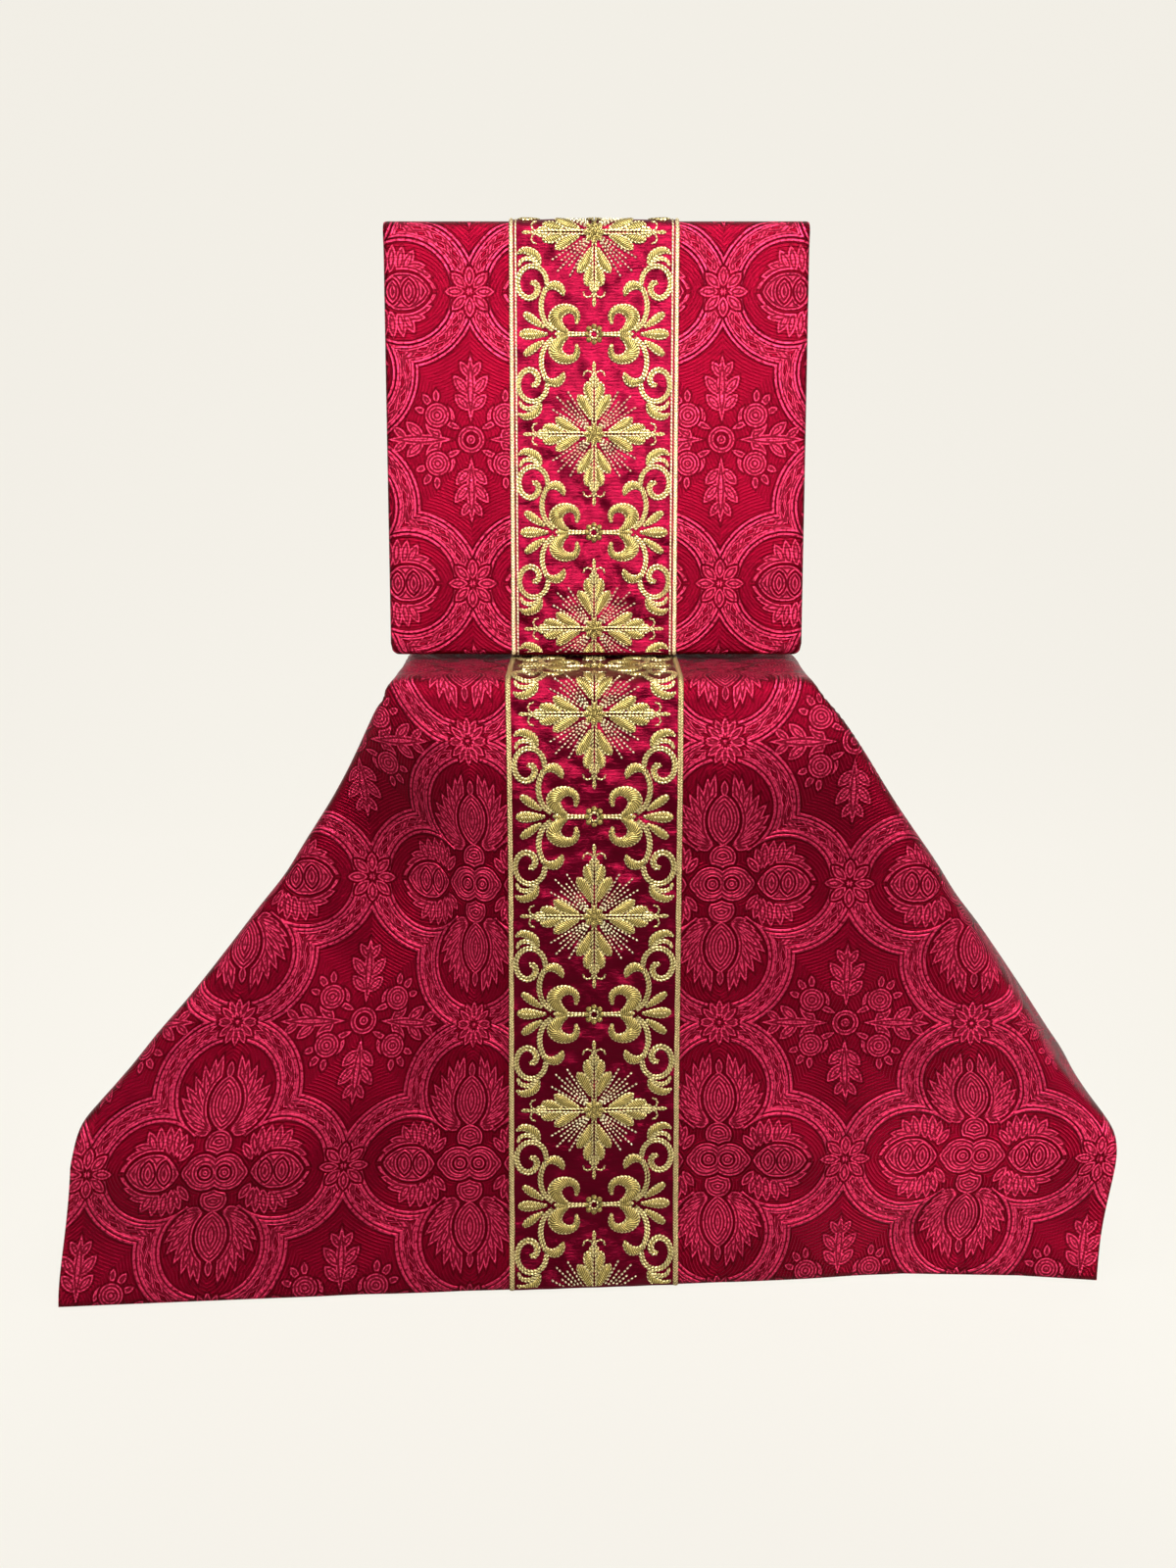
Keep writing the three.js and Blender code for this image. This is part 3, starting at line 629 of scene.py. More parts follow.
def medallion_frame(f, x, y):
    """The frame's cords, and the leaves between them."""
    line = f.disc(SIDE_LOBE, 0, LOBE_RADIUS)
    line = line.most(f.disc(0, TOP_LOBE, LOBE_RADIUS), f.disc(0, 0, HEART_RADIUS))
    cords = f.cord(line).most(*(f.cord(line+out) for out in OUTER_CORDS))
    turn = y.maths("ARCTAN2", x)*FRAME_RADIUS
    slant = (turn+line*1.4).wave(LEAF_PITCH).most((turn-line*2.2).wave(LEAF_PITCH)-0.25)
    between = ((line+LEAF_BAND).size()*-1+LEAF_BAND_HALF).least(slant*1.8+0.3)
    return cords, between


def medallion_middle(f):
    """The heart, the palmettes' buds and the pomegranates, and apart from them their leaves."""
    eye = f.disc(5.0, 0, 3.1)
    heart = f.disc(6.2, 0, 9.4).most(f.leaf(4, 0, 17.2, 0, 5.5))
    petal = f.cleared(heart, eye, gap=1.0)
    crown = f.cleared(f.disc(0, 14.4, 6.9), heart, gap=1.3)
    bud = f.leaf(0, 20.5, 0, 49, 8.2).most(f.leaf(0, 47, 0, 56, 2))
    seeds = f.leaf(26, -6, 26, 6, 3.4).most(f.leaf(34.6, -6, 34.6, 6, 3.4))
    fruit = f.leaf(18.4, 0, 46, 0, 9.6).most(f.disc(30.2, 0, 9.6))
    shell = f.cleared(fruit, seeds, gap=0.8)
    palmette = f.cleared(f.leaves(PALMETTE_LEAVES), bud.most(crown), gap=1.4)
    acanthus = f.cleared(f.leaves(ACANTHUS_LEAVES), fruit, gap=1.5)
    return eye.most(petal, crown, bud, seeds, shell), palmette.most(acanthus)


def damask_figure(finish):
    """The damask's drawing in millimetres from its edge, above 0 inside: all of it, its
    medallion's middle alone, and the cords of its frame."""
    across, along = finish.split(finish.cloth())[:2]
    x = (across-MEDALLION_ACROSS).bounce(CELL_HALF_WIDE)
    y = (along+MEDALLION_DOWN).bounce(CELL_HALF_HIGH)
    f = Figure(finish, finish.join(x, y))
    cords, between = medallion_frame(f, x, y)
    middle, leaves = medallion_middle(f)
    stars = f.leaves(STAR_LEAVES)
    berry = f.disc(48.6, 63.4, 6.3)
    sprigs = f.leaves(SPRIG_LEAVES).most(f.disc(66.5, 76, 2.4), f.ring(66.5, 76, 5.6, 1.4))
    drawing = middle.most(
        leaves, f.cleared(between, stars, gap=1.0), stars,
        f.cleared(sprigs, berry, gap=0.9), berry)
    return drawing, middle, f.cleared(cords, stars, gap=1.0)


# The ground is a smooth satin. The figure is duller, and drawn in fine paler lines.
GROUND = (0.085, 0.0002, 0.005)
GROUND_WORN = (0.115, 0.0004, 0.008)
FIGURE_RED = (0.090, 0.0005, 0.007)
# The edge colour is painted shade: a dark rim just outside the figure, standing in for the shade its
# relief casts on the ground.
FIGURE_EDGE_SHADE = (0.040, 0.0001, 0.002)
FIGURE_LINE = (0.420, 0.022, 0.066)


def damask():
    """Figured silk: a glossy ground, with the figure in a duller weave drawn in paler lines, and painted
    shade in a dark rim about it.
    """
    finish = Finish("crimson_damask")
    cloth = finish.cloth()
    drawing, middle, cords = damask_figure(finish)
    inside = drawing.step(-0.1, 0.25)
    line = (drawing-0.5).wave(LINE_PITCH).step(-0.1, 0.9)
    # Only the middle and the cords are in relief: a bump of every leaf is too much to render.
    relief = middle.step(-0.4, 0.4)*0.5+(middle-0.5).wave(LINE_PITCH)*0.3
    broken = finish.noise(cloth, (0.62, 0.62), 1.0).step(0.30, 0.58)
    lines = (inside*line).most(cords.step(-0.1, 0.3))*broken
    # A thin band just outside the figure and its cords, where the base colour is painted darker as shade
    # of the figure's relief.
    rim = (drawing.most(cords)+0.55).size().step(0.75, 0.25)
    cloudy = finish.noise(cloth, (0.016, 0.02))
    slub = finish.noise(cloth, (0.10, 2.2), 3.0)
    thread_x, thread_y = finish.split(cloth)[:2]
    weave = (thread_x+thread_y*0.5).wave(0.9)*thread_y.wave(0.62)
    ground = finish.mix(cloudy, GROUND, GROUND_WORN)
    shaded = finish.mix(rim*0.75, finish.mix(inside, ground, FIGURE_RED), FIGURE_EDGE_SHADE)
    finish.give(
        Base_Color=finish.mix(lines, shaded, FIGURE_LINE),
        Roughness=inside*0.10+slub*0.08+0.33,
        Metallic=inside*-0.18+0.92,
        Specular_IOR_Level=0.12,
    )
    finish.raise_by(relief.most(cords.step(-0.3, 0.4))+weave*0.06+slub*0.25, 0.0006)
    return finish.material


def lining():
    """The veil's plain red back, a close cotton weave."""
    finish = Finish("red_lining")
    cloth = finish.cloth()
    across, along = finish.split(cloth)[:2]
    weave = across.wave(0.8)*along.wave(0.8)
    shade = finish.noise(cloth, (0.03, 0.03))
    finish.give(
        Base_Color=finish.mix(shade, (0.20, 0.002, 0.012), (0.28, 0.004, 0.020)),
        Roughness=shade*0.1+0.62,
    )
    finish.raise_by(weave, 0.00008)
    return finish.material


def satin():
    """Deep red satin, with fine ribs across it and small puckers pulled in by the stitching."""
    finish = Finish("red_satin")
    cloth = finish.cloth()
    along = finish.split(cloth)[1]
    ribs = finish.noise(cloth, (0.25, 2.8), 2.0)
    pucker = finish.noise(cloth, (0.065, 0.07), 1.0)
    shade = finish.noise(cloth, (0.04, 0.06))
    finish.give(
        Base_Color=finish.mix(shade, (0.058, 0.0002, 0.005), (0.100, 0.0004, 0.010)),
        Roughness=ribs*0.1+0.28,
        Metallic=0.88,
        Specular_IOR_Level=0.12,
    )
    finish.raise_by(pucker+ribs*0.03+along.wave(0.7)*0.01, 0.0036)
    return finish.material


def gold_thread(name, groove_shade_and_wear, light, pitch, roughness):
    """Gold thread laid in close stitches. The cloth's along is along the stitched line."""
    finish = Finish(name)
    cloth = finish.cloth()
    across, along = finish.split(cloth)[:2]
    stitch = (along+across*0.55).wave(pitch).plus_times(0.5, 0.5)
    worn = finish.noise(cloth, (0.22, 0.22), 3.0)
    # Painted shade and highlight: the colour follows the stitch ridges of the bump, with dark gold in the
    # grooves and light gold on the crowns, and random worn tone mixed in.
    finish.give(
        Base_Color=finish.mix(stitch*0.8+worn*0.8-0.35, groove_shade_and_wear, light),
        Roughness=worn*0.16+roughness,
        Metallic=0.8,
        Specular_IOR_Level=0.6,
    )
    finish.raise_by(stitch+worn*0.3, 0.00022)
    return finish.material


def braid_weave(name, groove_shade_and_wear, light, half_wide):
    """A flat gold braid, plaited in a herringbone about its middle."""
    finish = Finish(name)
    cloth = finish.cloth()
    across, along = finish.split(cloth)[:2]
    aside = across.bounce(half_wide)
    plait = (along+aside*1.1).wave(1.5).plus_times(0.5, 0.5)
    worn = finish.noise(cloth, (0.5, 0.5), 3.0)
    # Painted shade and highlight: the colour follows the plait ridges of the bump, darker in the grooves
    # and lighter on the ridges, with random worn tone mixed in.
    finish.give(
        Base_Color=finish.mix(plait*0.65+worn*0.5-0.1, groove_shade_and_wear, light),
        Roughness=worn*0.15+0.34,
        Metallic=0.7,
        Specular_IOR_Level=0.6,
    )
    finish.raise_by(plait+worn*0.4, 0.0003)
    return finish.material


def wood():
    """Pale sanded wood, with its grain along the boards."""
    finish = Finish("pale_wood")
    place = finish.place()
    grain = finish.noise(place, (16.0, 210.0, 210.0), 4.0)
    shade = finish.noise(place, (6.0, 30.0, 30.0), 2.0)
    finish.give(
        Base_Color=finish.mix(grain*0.7+shade*0.3, (0.46, 0.33, 0.20), (0.66, 0.53, 0.36)),
        Roughness=grain*0.15+0.52,
    )
    finish.raise_by(grain, 0.0002)
    return finish.material


DAMASK = damask()
LINING = lining()
SATIN = satin()
# Each gold and braid is given first as its painted shade colour for the grooves, then as its painted
# highlight colour for the crowns.
GOLD_CORD = gold_thread("gold_cord", (0.09, 0.05, 0.008), (0.66, 0.56, 0.26), 1.9, 0.27)
GOLD_FILL = gold_thread("gold_fill", (0.030, 0.015, 0.002), (0.43, 0.33, 0.090), 1.1, 0.32)
WHITE_GOLD = gold_thread("white_gold", (0.22, 0.16, 0.06), (0.66, 0.60, 0.40), 1.9, 0.26)
VEIL_BRAID = braid_weave("veil_braid_gold", (0.12, 0.07, 0.015), (0.50, 0.40, 0.18), BRAID_WIDTH/2)
BURSE_BRAID = braid_weave("burse_braid_gold", (0.22, 0.14, 0.05), (0.62, 0.54, 0.32), BRAID_WIDTH/2)
WOOD = wood()

# ---------- veil
# Lifts off the cloth, in millimetres: of a band's underside and top, and of a braid.
LAID = 0.1
BAND_TOP = LAID+BAND_WALL
BRAID_LOW = BAND_TOP-0.5
VEIL_BRAID_TOP = BAND_TOP+0.7
BURSE_BRAID_TOP = BAND_TOP+0.8
SILVER_TOP = BAND_TOP+0.6
STITCHES_LOW = BAND_TOP-0.1
BRAID_SIDE_SHARE = 0.35
VEIL_BAND_WAVE = 0.26
BURSE_BAND_WAVE = 0.2

# How finely the bands and braids are divided.
BAND_COLUMNS = 46
BRAID_COLUMNS = 5
VEIL_BAND_ROWS = 276
BOARD_BAND_ROWS = 110
HINGE_BAND_ROWS = 16


def band_lift(half, depth):
    """The satin is pulled into shallow waves between its motifs."""
    def lift(u, t):
        edge = smooth((half-np.abs(u))/6)
        drawn = np.sin(t*0.31+np.sin(u*0.12)*1.3)*np.sin(u*0.19+t*0.05)
        drawn += 0.7*np.sin(t*0.17-np.sin(u*0.08+1)*1.5)*np.sin(u*0.11-t*0.07+2)
        return BAND_TOP+depth*edge*drawn
    return lift


veil_cloth = wall("veil_cloth", on_veil, veil_u, veil_t, -VEIL_WALL, 0)
dress(veil_cloth, [DAMASK, LINING], ["veil_panel"])

veil_band_half = VEIL_BAND_WIDTH/2
veil_band_across = np.linspace(-veil_band_half, veil_band_half, BAND_COLUMNS)
veil_along = np.linspace(veil_t[0], veil_t[-1], VEIL_BAND_ROWS)
veil_lift = band_lift(veil_band_half, VEIL_BAND_WAVE)
veil_band = wall("veil_band", on_veil, veil_band_across, veil_along, LAID, veil_lift)
dress(veil_band, [SATIN, SATIN], ["veil_orphrey"])


def braid(name, surface, inner, outer, along, low, high, material, slot_nodes):
    """A narrow strip, rounded at its sides, along a band's edge."""
    across = np.linspace(inner, outer, BRAID_COLUMNS)
    middle, half = (inner+outer)/2, abs(outer-inner)/2

    def lift(u, t):
        round_off = np.sqrt(np.clip(1-((u-middle)/half)**2, 0, 1))
        return low+(high-low)*(BRAID_SIDE_SHARE+(1-BRAID_SIDE_SHARE)*round_off)

    strip = wall(name, surface, np.sort(across), along, low, lift)
    return dress(strip, [material, material], slot_nodes)


for side, way in (("right", 1), ("left", -1)):
    outer, inner = way*veil_band_half, way*(veil_band_half-BRAID_WIDTH)
    braid(
        f"veil_braid_{side}_gold", on_veil, inner, outer, veil_along,
        BRAID_LOW, VEIL_BRAID_TOP, VEIL_BRAID, [f"veil_braid_{side}"])

# ---------- burse
CASE_ACROSS = 76
BOARD_LINES = 74
HINGE_LINES = 14
RIM_LINES = 5
HINGE_BLEND = 9.0
BOARD_SWELL = 0.25
SWELL_FADES = 30.0
BURSE_MEDALLION = 38.3


def rounded_share(edge, reach):
    """0 at an edge, rising to 1 a reach inside it, as a quarter round."""
    inside = np.clip(edge/reach, 0, 1)
    return np.sqrt(np.clip(1-(1-inside)**2, 0, 1))


def burse_case():
    """One stiff shell: the front board, the soft hinge over the top and the back board."""
    half = BURSE_WIDTH/2
    rim = BOARD_ROUND*(1-np.cos(np.linspace(0, pi/2, RIM_LINES)))
    across = np.concatenate([-half+rim, np.linspace(-half, half, CASE_ACROSS)[2:-2], half-rim[::-1]])
    board = np.linspace(0, BOARD_HEIGHT, BOARD_LINES)
    front = np.concatenate([rim, board[2:]])
    hinge = BOARD_HEIGHT+np.linspace(0, HINGE_RUN, HINGE_LINES)[1:-1]
    along = np.concatenate([front, hinge, (BURSE_RUN-front)[::-1]])
    x, h = np.meshgrid(across, along)

    # The bottom corners are rounded by drawing their lines in towards the middle.
    foot = np.minimum(h, BURSE_RUN-h)
    cut = np.clip(1-foot/BOARD_CORNER, 0, 1)
    drawn_in = BOARD_CORNER*(1-np.sqrt(1-cut*cut))
    x_cut = x*(1-drawn_in/half)

    near_hinge = np.clip((np.abs(h-BURSE_RUN/2)-HINGE_RUN/2)/HINGE_BLEND, 0, 1)
    thick = HINGE_WALL+(BOARD_THICK-HINGE_WALL)*smooth(near_hinge)
    edge = np.minimum(half-np.abs(x), foot)
    share = rounded_share(edge, BOARD_ROUND)
    swell = BOARD_SWELL*np.sin(x*0.021+1)*np.sin(h*0.030+0.6)*smooth(foot/SWELL_FADES)*near_hinge
    outer = on_burse(x_cut, h, swell-thick*(1-share)/2).reshape(-1, 3)
    inner = on_burse(x_cut, h, -thick+thick*(1-share)/2).reshape(-1, 3)
    long, wide = x.shape
    index = np.arange(long*wide).reshape(long, wide)
    upper, lower = two_faces(index)
    # The two faces meet on the rim, so that they share its points there.
    inside = np.zeros((long, wide), bool)
    inside[1:-1, 1:-1] = True
    inside = inside.ravel()
    lower_index = np.where(inside, long*wide+np.cumsum(inside)-1, index.ravel())
    # The case is cut from the veil's cloth, with a medallion's middle on its own.
    cloth = np.stack([x+MEDALLION_ACROSS, h-BURSE_MEDALLION-MEDALLION_DOWN], -1).reshape(-1, 2)
    return make_piece(
        "burse_case", np.vstack([outer, inner[inside]]), [upper, lower_index[lower]],
        np.vstack([cloth, cloth[inside]]), np.repeat([0, 1], [len(upper), len(lower)]))


dress(burse_case(), [DAMASK, LINING], ["burse_front", "burse_back", "burse_hinge"])


def on_burse_band(x, h, lift):
    return on_burse(x-BURSE_SHIFT_X, h, lift)


burse_along = np.concatenate([
    np.linspace(0, BOARD_HEIGHT, BOARD_BAND_ROWS),
    BOARD_HEIGHT+np.linspace(0, HINGE_RUN, HINGE_BAND_ROWS)[1:-1],
    BOARD_HEIGHT+HINGE_RUN+np.linspace(0, BOARD_HEIGHT, BOARD_BAND_ROWS),
])
band_half = BAND_WIDTH/2
band_across = np.linspace(-band_half, band_half, BAND_COLUMNS)
burse_lift = band_lift(band_half, BURSE_BAND_WAVE)
burse_band = wall("burse_band", on_burse_band, band_across, burse_along, LAID, burse_lift)
dress(burse_band, [SATIN, SATIN], ["burse_orphrey"])

# The burse's braid has a gold strip, with a narrower silver one inside it.
SILVER_WIDTH = 1.1
for side, way in (("right", 1), ("left", -1)):
    outer, inner = way*band_half, way*(band_half-BRAID_WIDTH+0.6)
    braid(
        f"burse_braid_{side}_gold", on_burse_band, inner, outer, burse_along,
        BRAID_LOW, BURSE_BRAID_TOP, BURSE_BRAID, [f"burse_braid_{side}"])
    edge = way*(band_half-BRAID_WIDTH-0.1)
    braid(
        f"burse_braid_{side}_white", on_burse_band, edge, edge-way*SILVER_WIDTH, burse_along,
        BRAID_LOW, SILVER_TOP, WHITE_GOLD, [])

# ---------- embroidery
# Motifs are charted flat, in millimetres about their middle, as lines that have a width.
ROPE_STEP = 0.55
TWIST_PITCH = 1.9
CORD_RADIUS = 0.7
FILL, CORD, BEAD = 0, 1, 2


def even_line(points, step, closed=False):
    """A smooth line through the points, as evenly spaced rows of x, y and half width."""
    points = np.array(points, float)
    if closed:
        ends = np.vstack([points[-1:], points, points[:2]])
    else:
        ends = np.vstack([2*points[0]-points[1], points, 2*points[-1]-points[-2]])
    share = np.linspace(0, 1, 16, endpoint=False)[:, None]
    rows = [catmull_rom(a, b, c, d, share) for a, b, c, d in zip(ends, ends[1:], ends[2:], ends[3:])]
    line = np.vstack([*rows, ends[-2:-1]])
    run = np.concatenate([[0], np.cumsum(np.hypot(*np.diff(line[:, :2], axis=0).T))])
    even = np.linspace(0, run[-1], max(2, ceil(run[-1]/step)+1))
    return np.stack([np.interp(even, run, column) for column in line.T], 1), even


def sideways(line):
    ahead = np.gradient(line[:, :2], axis=0)
    ahead /= np.maximum(np.hypot(*ahead.T), 1e-9)[:, None]
    return np.stack([-ahead[:, 1], ahead[:, 0]], 1)


class Motif:
    """Stitching charted flat: points (x, y, height), faces, and the thread of each face."""

    def __init__(self):
        self.points, self.faces, self.cloth, self.threads = [], [], [], []
        self.count = 0

    def strip(self, points, cloth, thread, closed=False):
        """Joins rows of points into a skin. points has rows, columns and x, y, height."""
        rows, columns = points.shape[:2]
        index = np.arange(rows*columns).reshape(rows, columns)+self.count
        after = np.roll(index, -1, 0) if closed else index[1:]
        index = index if closed else index[:-1]
        faces = np.stack([index[:, :-1], index[:, 1:], after[:, 1:], after[:, :-1]], -1)
        self.keep(points.reshape(-1, 3), faces.reshape(-1, 4), cloth.reshape(-1, 2), thread)

    def keep(self, points, faces, cloth, thread):
        self.points.append(points)
        self.faces.append(faces)
        self.cloth.append(cloth)
        self.threads.append(np.full(len(faces), thread))
        self.count += len(points)

    def fill(self, line, run, rise, base=0.0):
        """Satin stitch, domed across a line of changing width."""
        across = np.array([-1, -0.72, 0, 0.72, 1])
        dome = np.array([0, 0.72, 1, 0.72, 0])
        half = np.clip(line[:, 2], 0, None)
        place = line[:, None, :2]-sideways(line)[:, None]*(half[:, None]*across)[..., None]
        full = np.clip(half/1.2, 0, 1)[:, None]
        height = base+rise*dome*full
        points = np.concatenate([place, height[..., None]], -1)
        cloth = np.stack([half[:, None]*across, np.repeat(run[:, None], 5, 1)], -1)
        self.strip(points, cloth, FILL)

    def rope(self, points, radius=CORD_RADIUS, base=0.15, closed=False, thread=CORD):
        """A twisted cord, which bulges once a twist, along x, y points."""
        line, run = even_line([(x, y, 0) for x, y in points], ROPE_STEP, closed)
        if closed:
            line, run = line[:-1], run[:-1]
        arch = np.linspace(0, pi, 5)
        twist = run[:, None]/TWIST_PITCH*2*pi+arch*1.1
        bulge = radius*(0.76+0.24*np.cos(twist))
        place = line[:, None, :2]+sideways(line)[:, None]*(-bulge*np.cos(arch))[..., None]
        height = base+bulge*np.sin(arch)*1.25
        points = np.concatenate([place, height[..., None]], -1)
        cloth = np.stack([arch*radius+np.zeros_like(twist), run[:, None]+np.zeros_like(twist)], -1)
        self.strip(points, cloth, thread, closed)

    def leaf(self, points, rise=1.1, radius=CORD_RADIUS, rib=False):
        """A stitched leaf along rows of (x, y, half width), with cord about its edge."""
        line, run = even_line(points, 0.9)
        self.fill(line, run, rise)
        half = np.clip(line[:, 2], 0, None)[:, None]
        edge = sideways(line)*np.clip(half-radius*0.7, 0, None)
        outline = np.vstack([line[:, :2]+edge, (line[:, :2]-edge)[::-1]])
        gap = np.hypot(*np.diff(outline, axis=0, append=outline[:1]).T)
        outline = outline[gap > 0.25][::2]
        self.rope(outline, radius, 0.2, closed=True)
        if rib:
            self.rope([(x, y) for x, y, _ in points[1:-1]], radius*0.7, rise*0.7)

    def stem(self, points, rise=0.7):
        """Two cords side by side over a low filling."""
        line, run = even_line(points, 0.9)
        self.fill(line, run, rise)
        edge = sideways(line)*np.clip(line[:, 2], 0, None)[:, None]
        self.rope((line[:, :2]+edge)[::2], CORD_RADIUS*1.15)
        self.rope((line[:, :2]-edge)[::2], CORD_RADIUS*1.15)

    def bead(self, x, y, way, half_long=0.95, half_wide=0.58, base=0.1):
        """One long stitch of a ray, lying along the angle way."""
        turn = np.arange(7)/6*2*pi
        tilt = np.array([0, 0.72, 1.25, pi/2])
        long = np.outer(half_long*np.cos(tilt), np.cos(turn))
        wide = np.outer(half_wide*np.cos(tilt), np.sin(turn))
        place = np.stack([
            x+long*cos(way)-wide*sin(way), y+long*sin(way)+wide*cos(way),
            base+np.outer(half_wide*1.4*np.sin(tilt), np.ones(7))], -1)
        self.strip(place, np.stack([wide, long], -1), BEAD)

    def ray(self, x, y, start=6.4, pitch=2.1):
        """A row of long stitches from near the middle out to a point."""
        reach = hypot(x, y)
        count = int((reach-start)/pitch)
        for k in range(count+1):
            share = (reach-0.9-k*pitch)/reach
            self.bead(x*share, y*share, atan2(y, x))

    def ring(self, x, y, radius, cord=CORD_RADIUS, base=0.15, thread=CORD):
        turn = np.arange(12)/12*2*pi
        points = np.stack([x+radius*np.cos(turn), y+radius*np.sin(turn)], 1)
        self.rope(points, cord, base, closed=True, thread=thread)

    def dome(self, x, y, radius, rise, thread=FILL):
        turn = np.linspace(0, 2*pi, 25)
        tilt = np.linspace(0, pi/2, 6)
        place = np.stack([
            x+radius*np.outer(np.cos(tilt), np.cos(turn)),
            y+radius*np.outer(np.cos(tilt), np.sin(turn)),
            rise*np.outer(np.sin(tilt), np.ones(25))], -1)
        cloth = np.stack([np.outer(np.ones(6), turn)*radius, radius*np.outer(tilt, np.ones(25))], -1)
        self.strip(place, cloth, thread)

    def add(self, other, way=(1, 0, 0, 1)):
        """Puts in another motif, turned or mirrored by a 2 by 2 way."""
        a, b, c, d = way
        for points, faces, cloth, threads in zip(other.points, other.faces, other.cloth, other.threads):
            x, y, height = points.T
            moved = np.stack([a*x+b*y, c*x+d*y, height], 1)
            turned_over = faces[:, ::-1] if a*d-b*c < 0 else faces
            self.keep(moved, turned_over-faces.min()+self.count, cloth, threads[0])

    def copies(self, *ways):
        """The motif, repeated by each way of turning or mirroring it."""
        whole = Motif()
        for way in ways:
            whole.add(self, way)
        return whole


QUARTER_TURNS = [(1, 0, 0, 1), (0, -1, 1, 0), (-1, 0, 0, -1), (0, 1, -1, 0)]
MIRRORED = [(1, 0, 0, 1), (-1, 0, 0, 1)]
BOTH_WAYS = [*MIRRORED, (1, 0, 0, -1), (-1, 0, 0, -1)]


def turned_copies(count):
    angles = [2*pi*k/count for k in range(count)]
    return [(cos(a), -sin(a), sin(a), cos(a)) for a in angles]


def cross_motif():
    """A cross of four leafy arms about a knot, with rays of long stitches between them."""
    side = Motif()
    side.leaf([
        (1.5, 7.6, 0.7), (3.0, 11.6, 2.1), (4.8, 15.4, 2.9), (6.8, 18.0, 2.5), (8.4, 19.8, 1.0)], 1.2)
    side.leaf([(1.1, 16.6, 0.9), (2.6, 20.0, 2.0), (3.3, 23.2, 2.4), (4.0, 26.6, 1.0)], 1.2)
    side.leaf([(0.8, 24.8, 0.6), (1.5, 27.2, 1.3), (0.9, 29.8, 0.5)], 0.9)
    side.rope([(0.9, 4.6), (0.8, 12), (0.8, 20), (0.6, 27), (0.2, 30.2)], CORD_RADIUS*0.85, 0.7)
    side.rope([(0.2, 29.6), (1.4, 31.9), (3.4, 32.7), (5.1, 31.8), (5.6, 30.0)], CORD_RADIUS*0.8)
    arm = side.copies(*MIRRORED)
    arm.leaf([(0, 30.2, 0.5), (0, 33.4, 0.7), (0, 35.4, 1.0), (0, 37.4, 0.3)], 0.9, CORD_RADIUS*0.6)
    whole = arm.copies(*QUARTER_TURNS)
    rays = Motif()
    for x, y in [(12.9, 22.3), (13.4, 17.2), (19.6, 20.0), (17.6, 14.4), (22.4, 14.0)]:
        rays.ray(x, y)
    whole.add(rays.copies(*QUARTER_TURNS))
    petals = Motif()
    petals.leaf([(1.4, 0, 0.8), (3.4, 0, 1.7), (5.4, 0, 0.6)], 1.3, CORD_RADIUS*0.8)
    whole.add(petals.copies(*turned_copies(8)))
    whole.dome(0, 0, 4.2, 0.8)
    whole.dome(0, 0, 1.7, 1.9)
    return whole


def scroll_motif():
    """Scrolling stems and leaves, mirrored both ways about a rosette."""
    corner = Motif()
    corner.leaf([
        (14.0, 1.0, 1.0), (18.0, 3.6, 2.6), (20.4, 8.0, 3.7), (17.8, 11.8, 3.3),
        (13.2, 12.9, 2.3), (9.8, 11.3, 1.8), (8.8, 8.0, 1.4), (9.5, 5.2, 0.6)], 1.5)
    corner.leaf([
        (26.2, 3.4, 0.6), (29.6, 5.6, 1.7), (33.0, 8.0, 2.2), (35.6, 9.9, 1.7), (36.9, 10.9, 0.5)], 1.2)
    corner.stem([
        (21.4, 1.8, 0.6), (25.2, 5.4, 0.7), (27.4, 10.6, 0.75), (27.7, 16.0, 0.75),
        (26.4, 20.8, 0.75), (24.6, 24.4, 0.7)])
    corner.leaf([
        (25.4, 22.4, 0.8), (22.6, 24.6, 1.9), (19.4, 24.6, 2.4), (17.0, 22.4, 1.9),
        (16.0, 19.4, 0.6)], 1.3)
    corner.stem([
        (24.4, 24.8, 0.7), (25.8, 30.4, 0.75), (29.6, 34.0, 0.75), (34.6, 34.2, 0.75),
        (38.6, 31.0, 0.75), (40.0, 26.0, 0.8), (38.4, 20.7, 0.85), (34.4, 18.3, 0.9),
        (30.8, 19.9, 1.0), (29.5, 23.2, 1.0), (31.0, 26.0, 0.9), (33.5, 25.7, 0.6)])
    corner.leaf([
        (28.4, 35.4, 0.8), (29.8, 39.4, 1.9), (33.4, 41.8, 2.1), (37.2, 42.4, 1.6),
        (39.8, 40.8, 0.6)], 1.2)
    corner.leaf([
        (29.6, 36.0, 0.7), (33.0, 38.0, 1.1), (36.6, 38.0, 1.1), (38.8, 36.2, 0.9),
        (39.2, 34.0, 0.5)], 0.9)
    whole = corner.copies(*BOTH_WAYS)
    half = Motif()
    half.stem([(4.4, 0, 0.5), (9.5, 0, 0.55), (14.8, 0, 1.0)])
    half.leaf([(13.6, 0, 1.0), (17.0, 0, 1.9), (20.8, 0, 0.5)], 1.2)
    half.leaf(
        [(24.4, 0, 0.6), (29.0, 0, 1.9), (33.5, 0, 2.8), (37.0, 0, 2.4), (39.5, 0, 0.6)], 1.3, rib=True)
    whole.add(half.copies(*MIRRORED))
    lump = Motif()
    lump.dome(3.9, 0, 1.45, 1.5)
    whole.add(lump.copies(*turned_copies(8)))
    whole.ring(0, 0, 2.1, CORD_RADIUS, 0.6)
    return whole


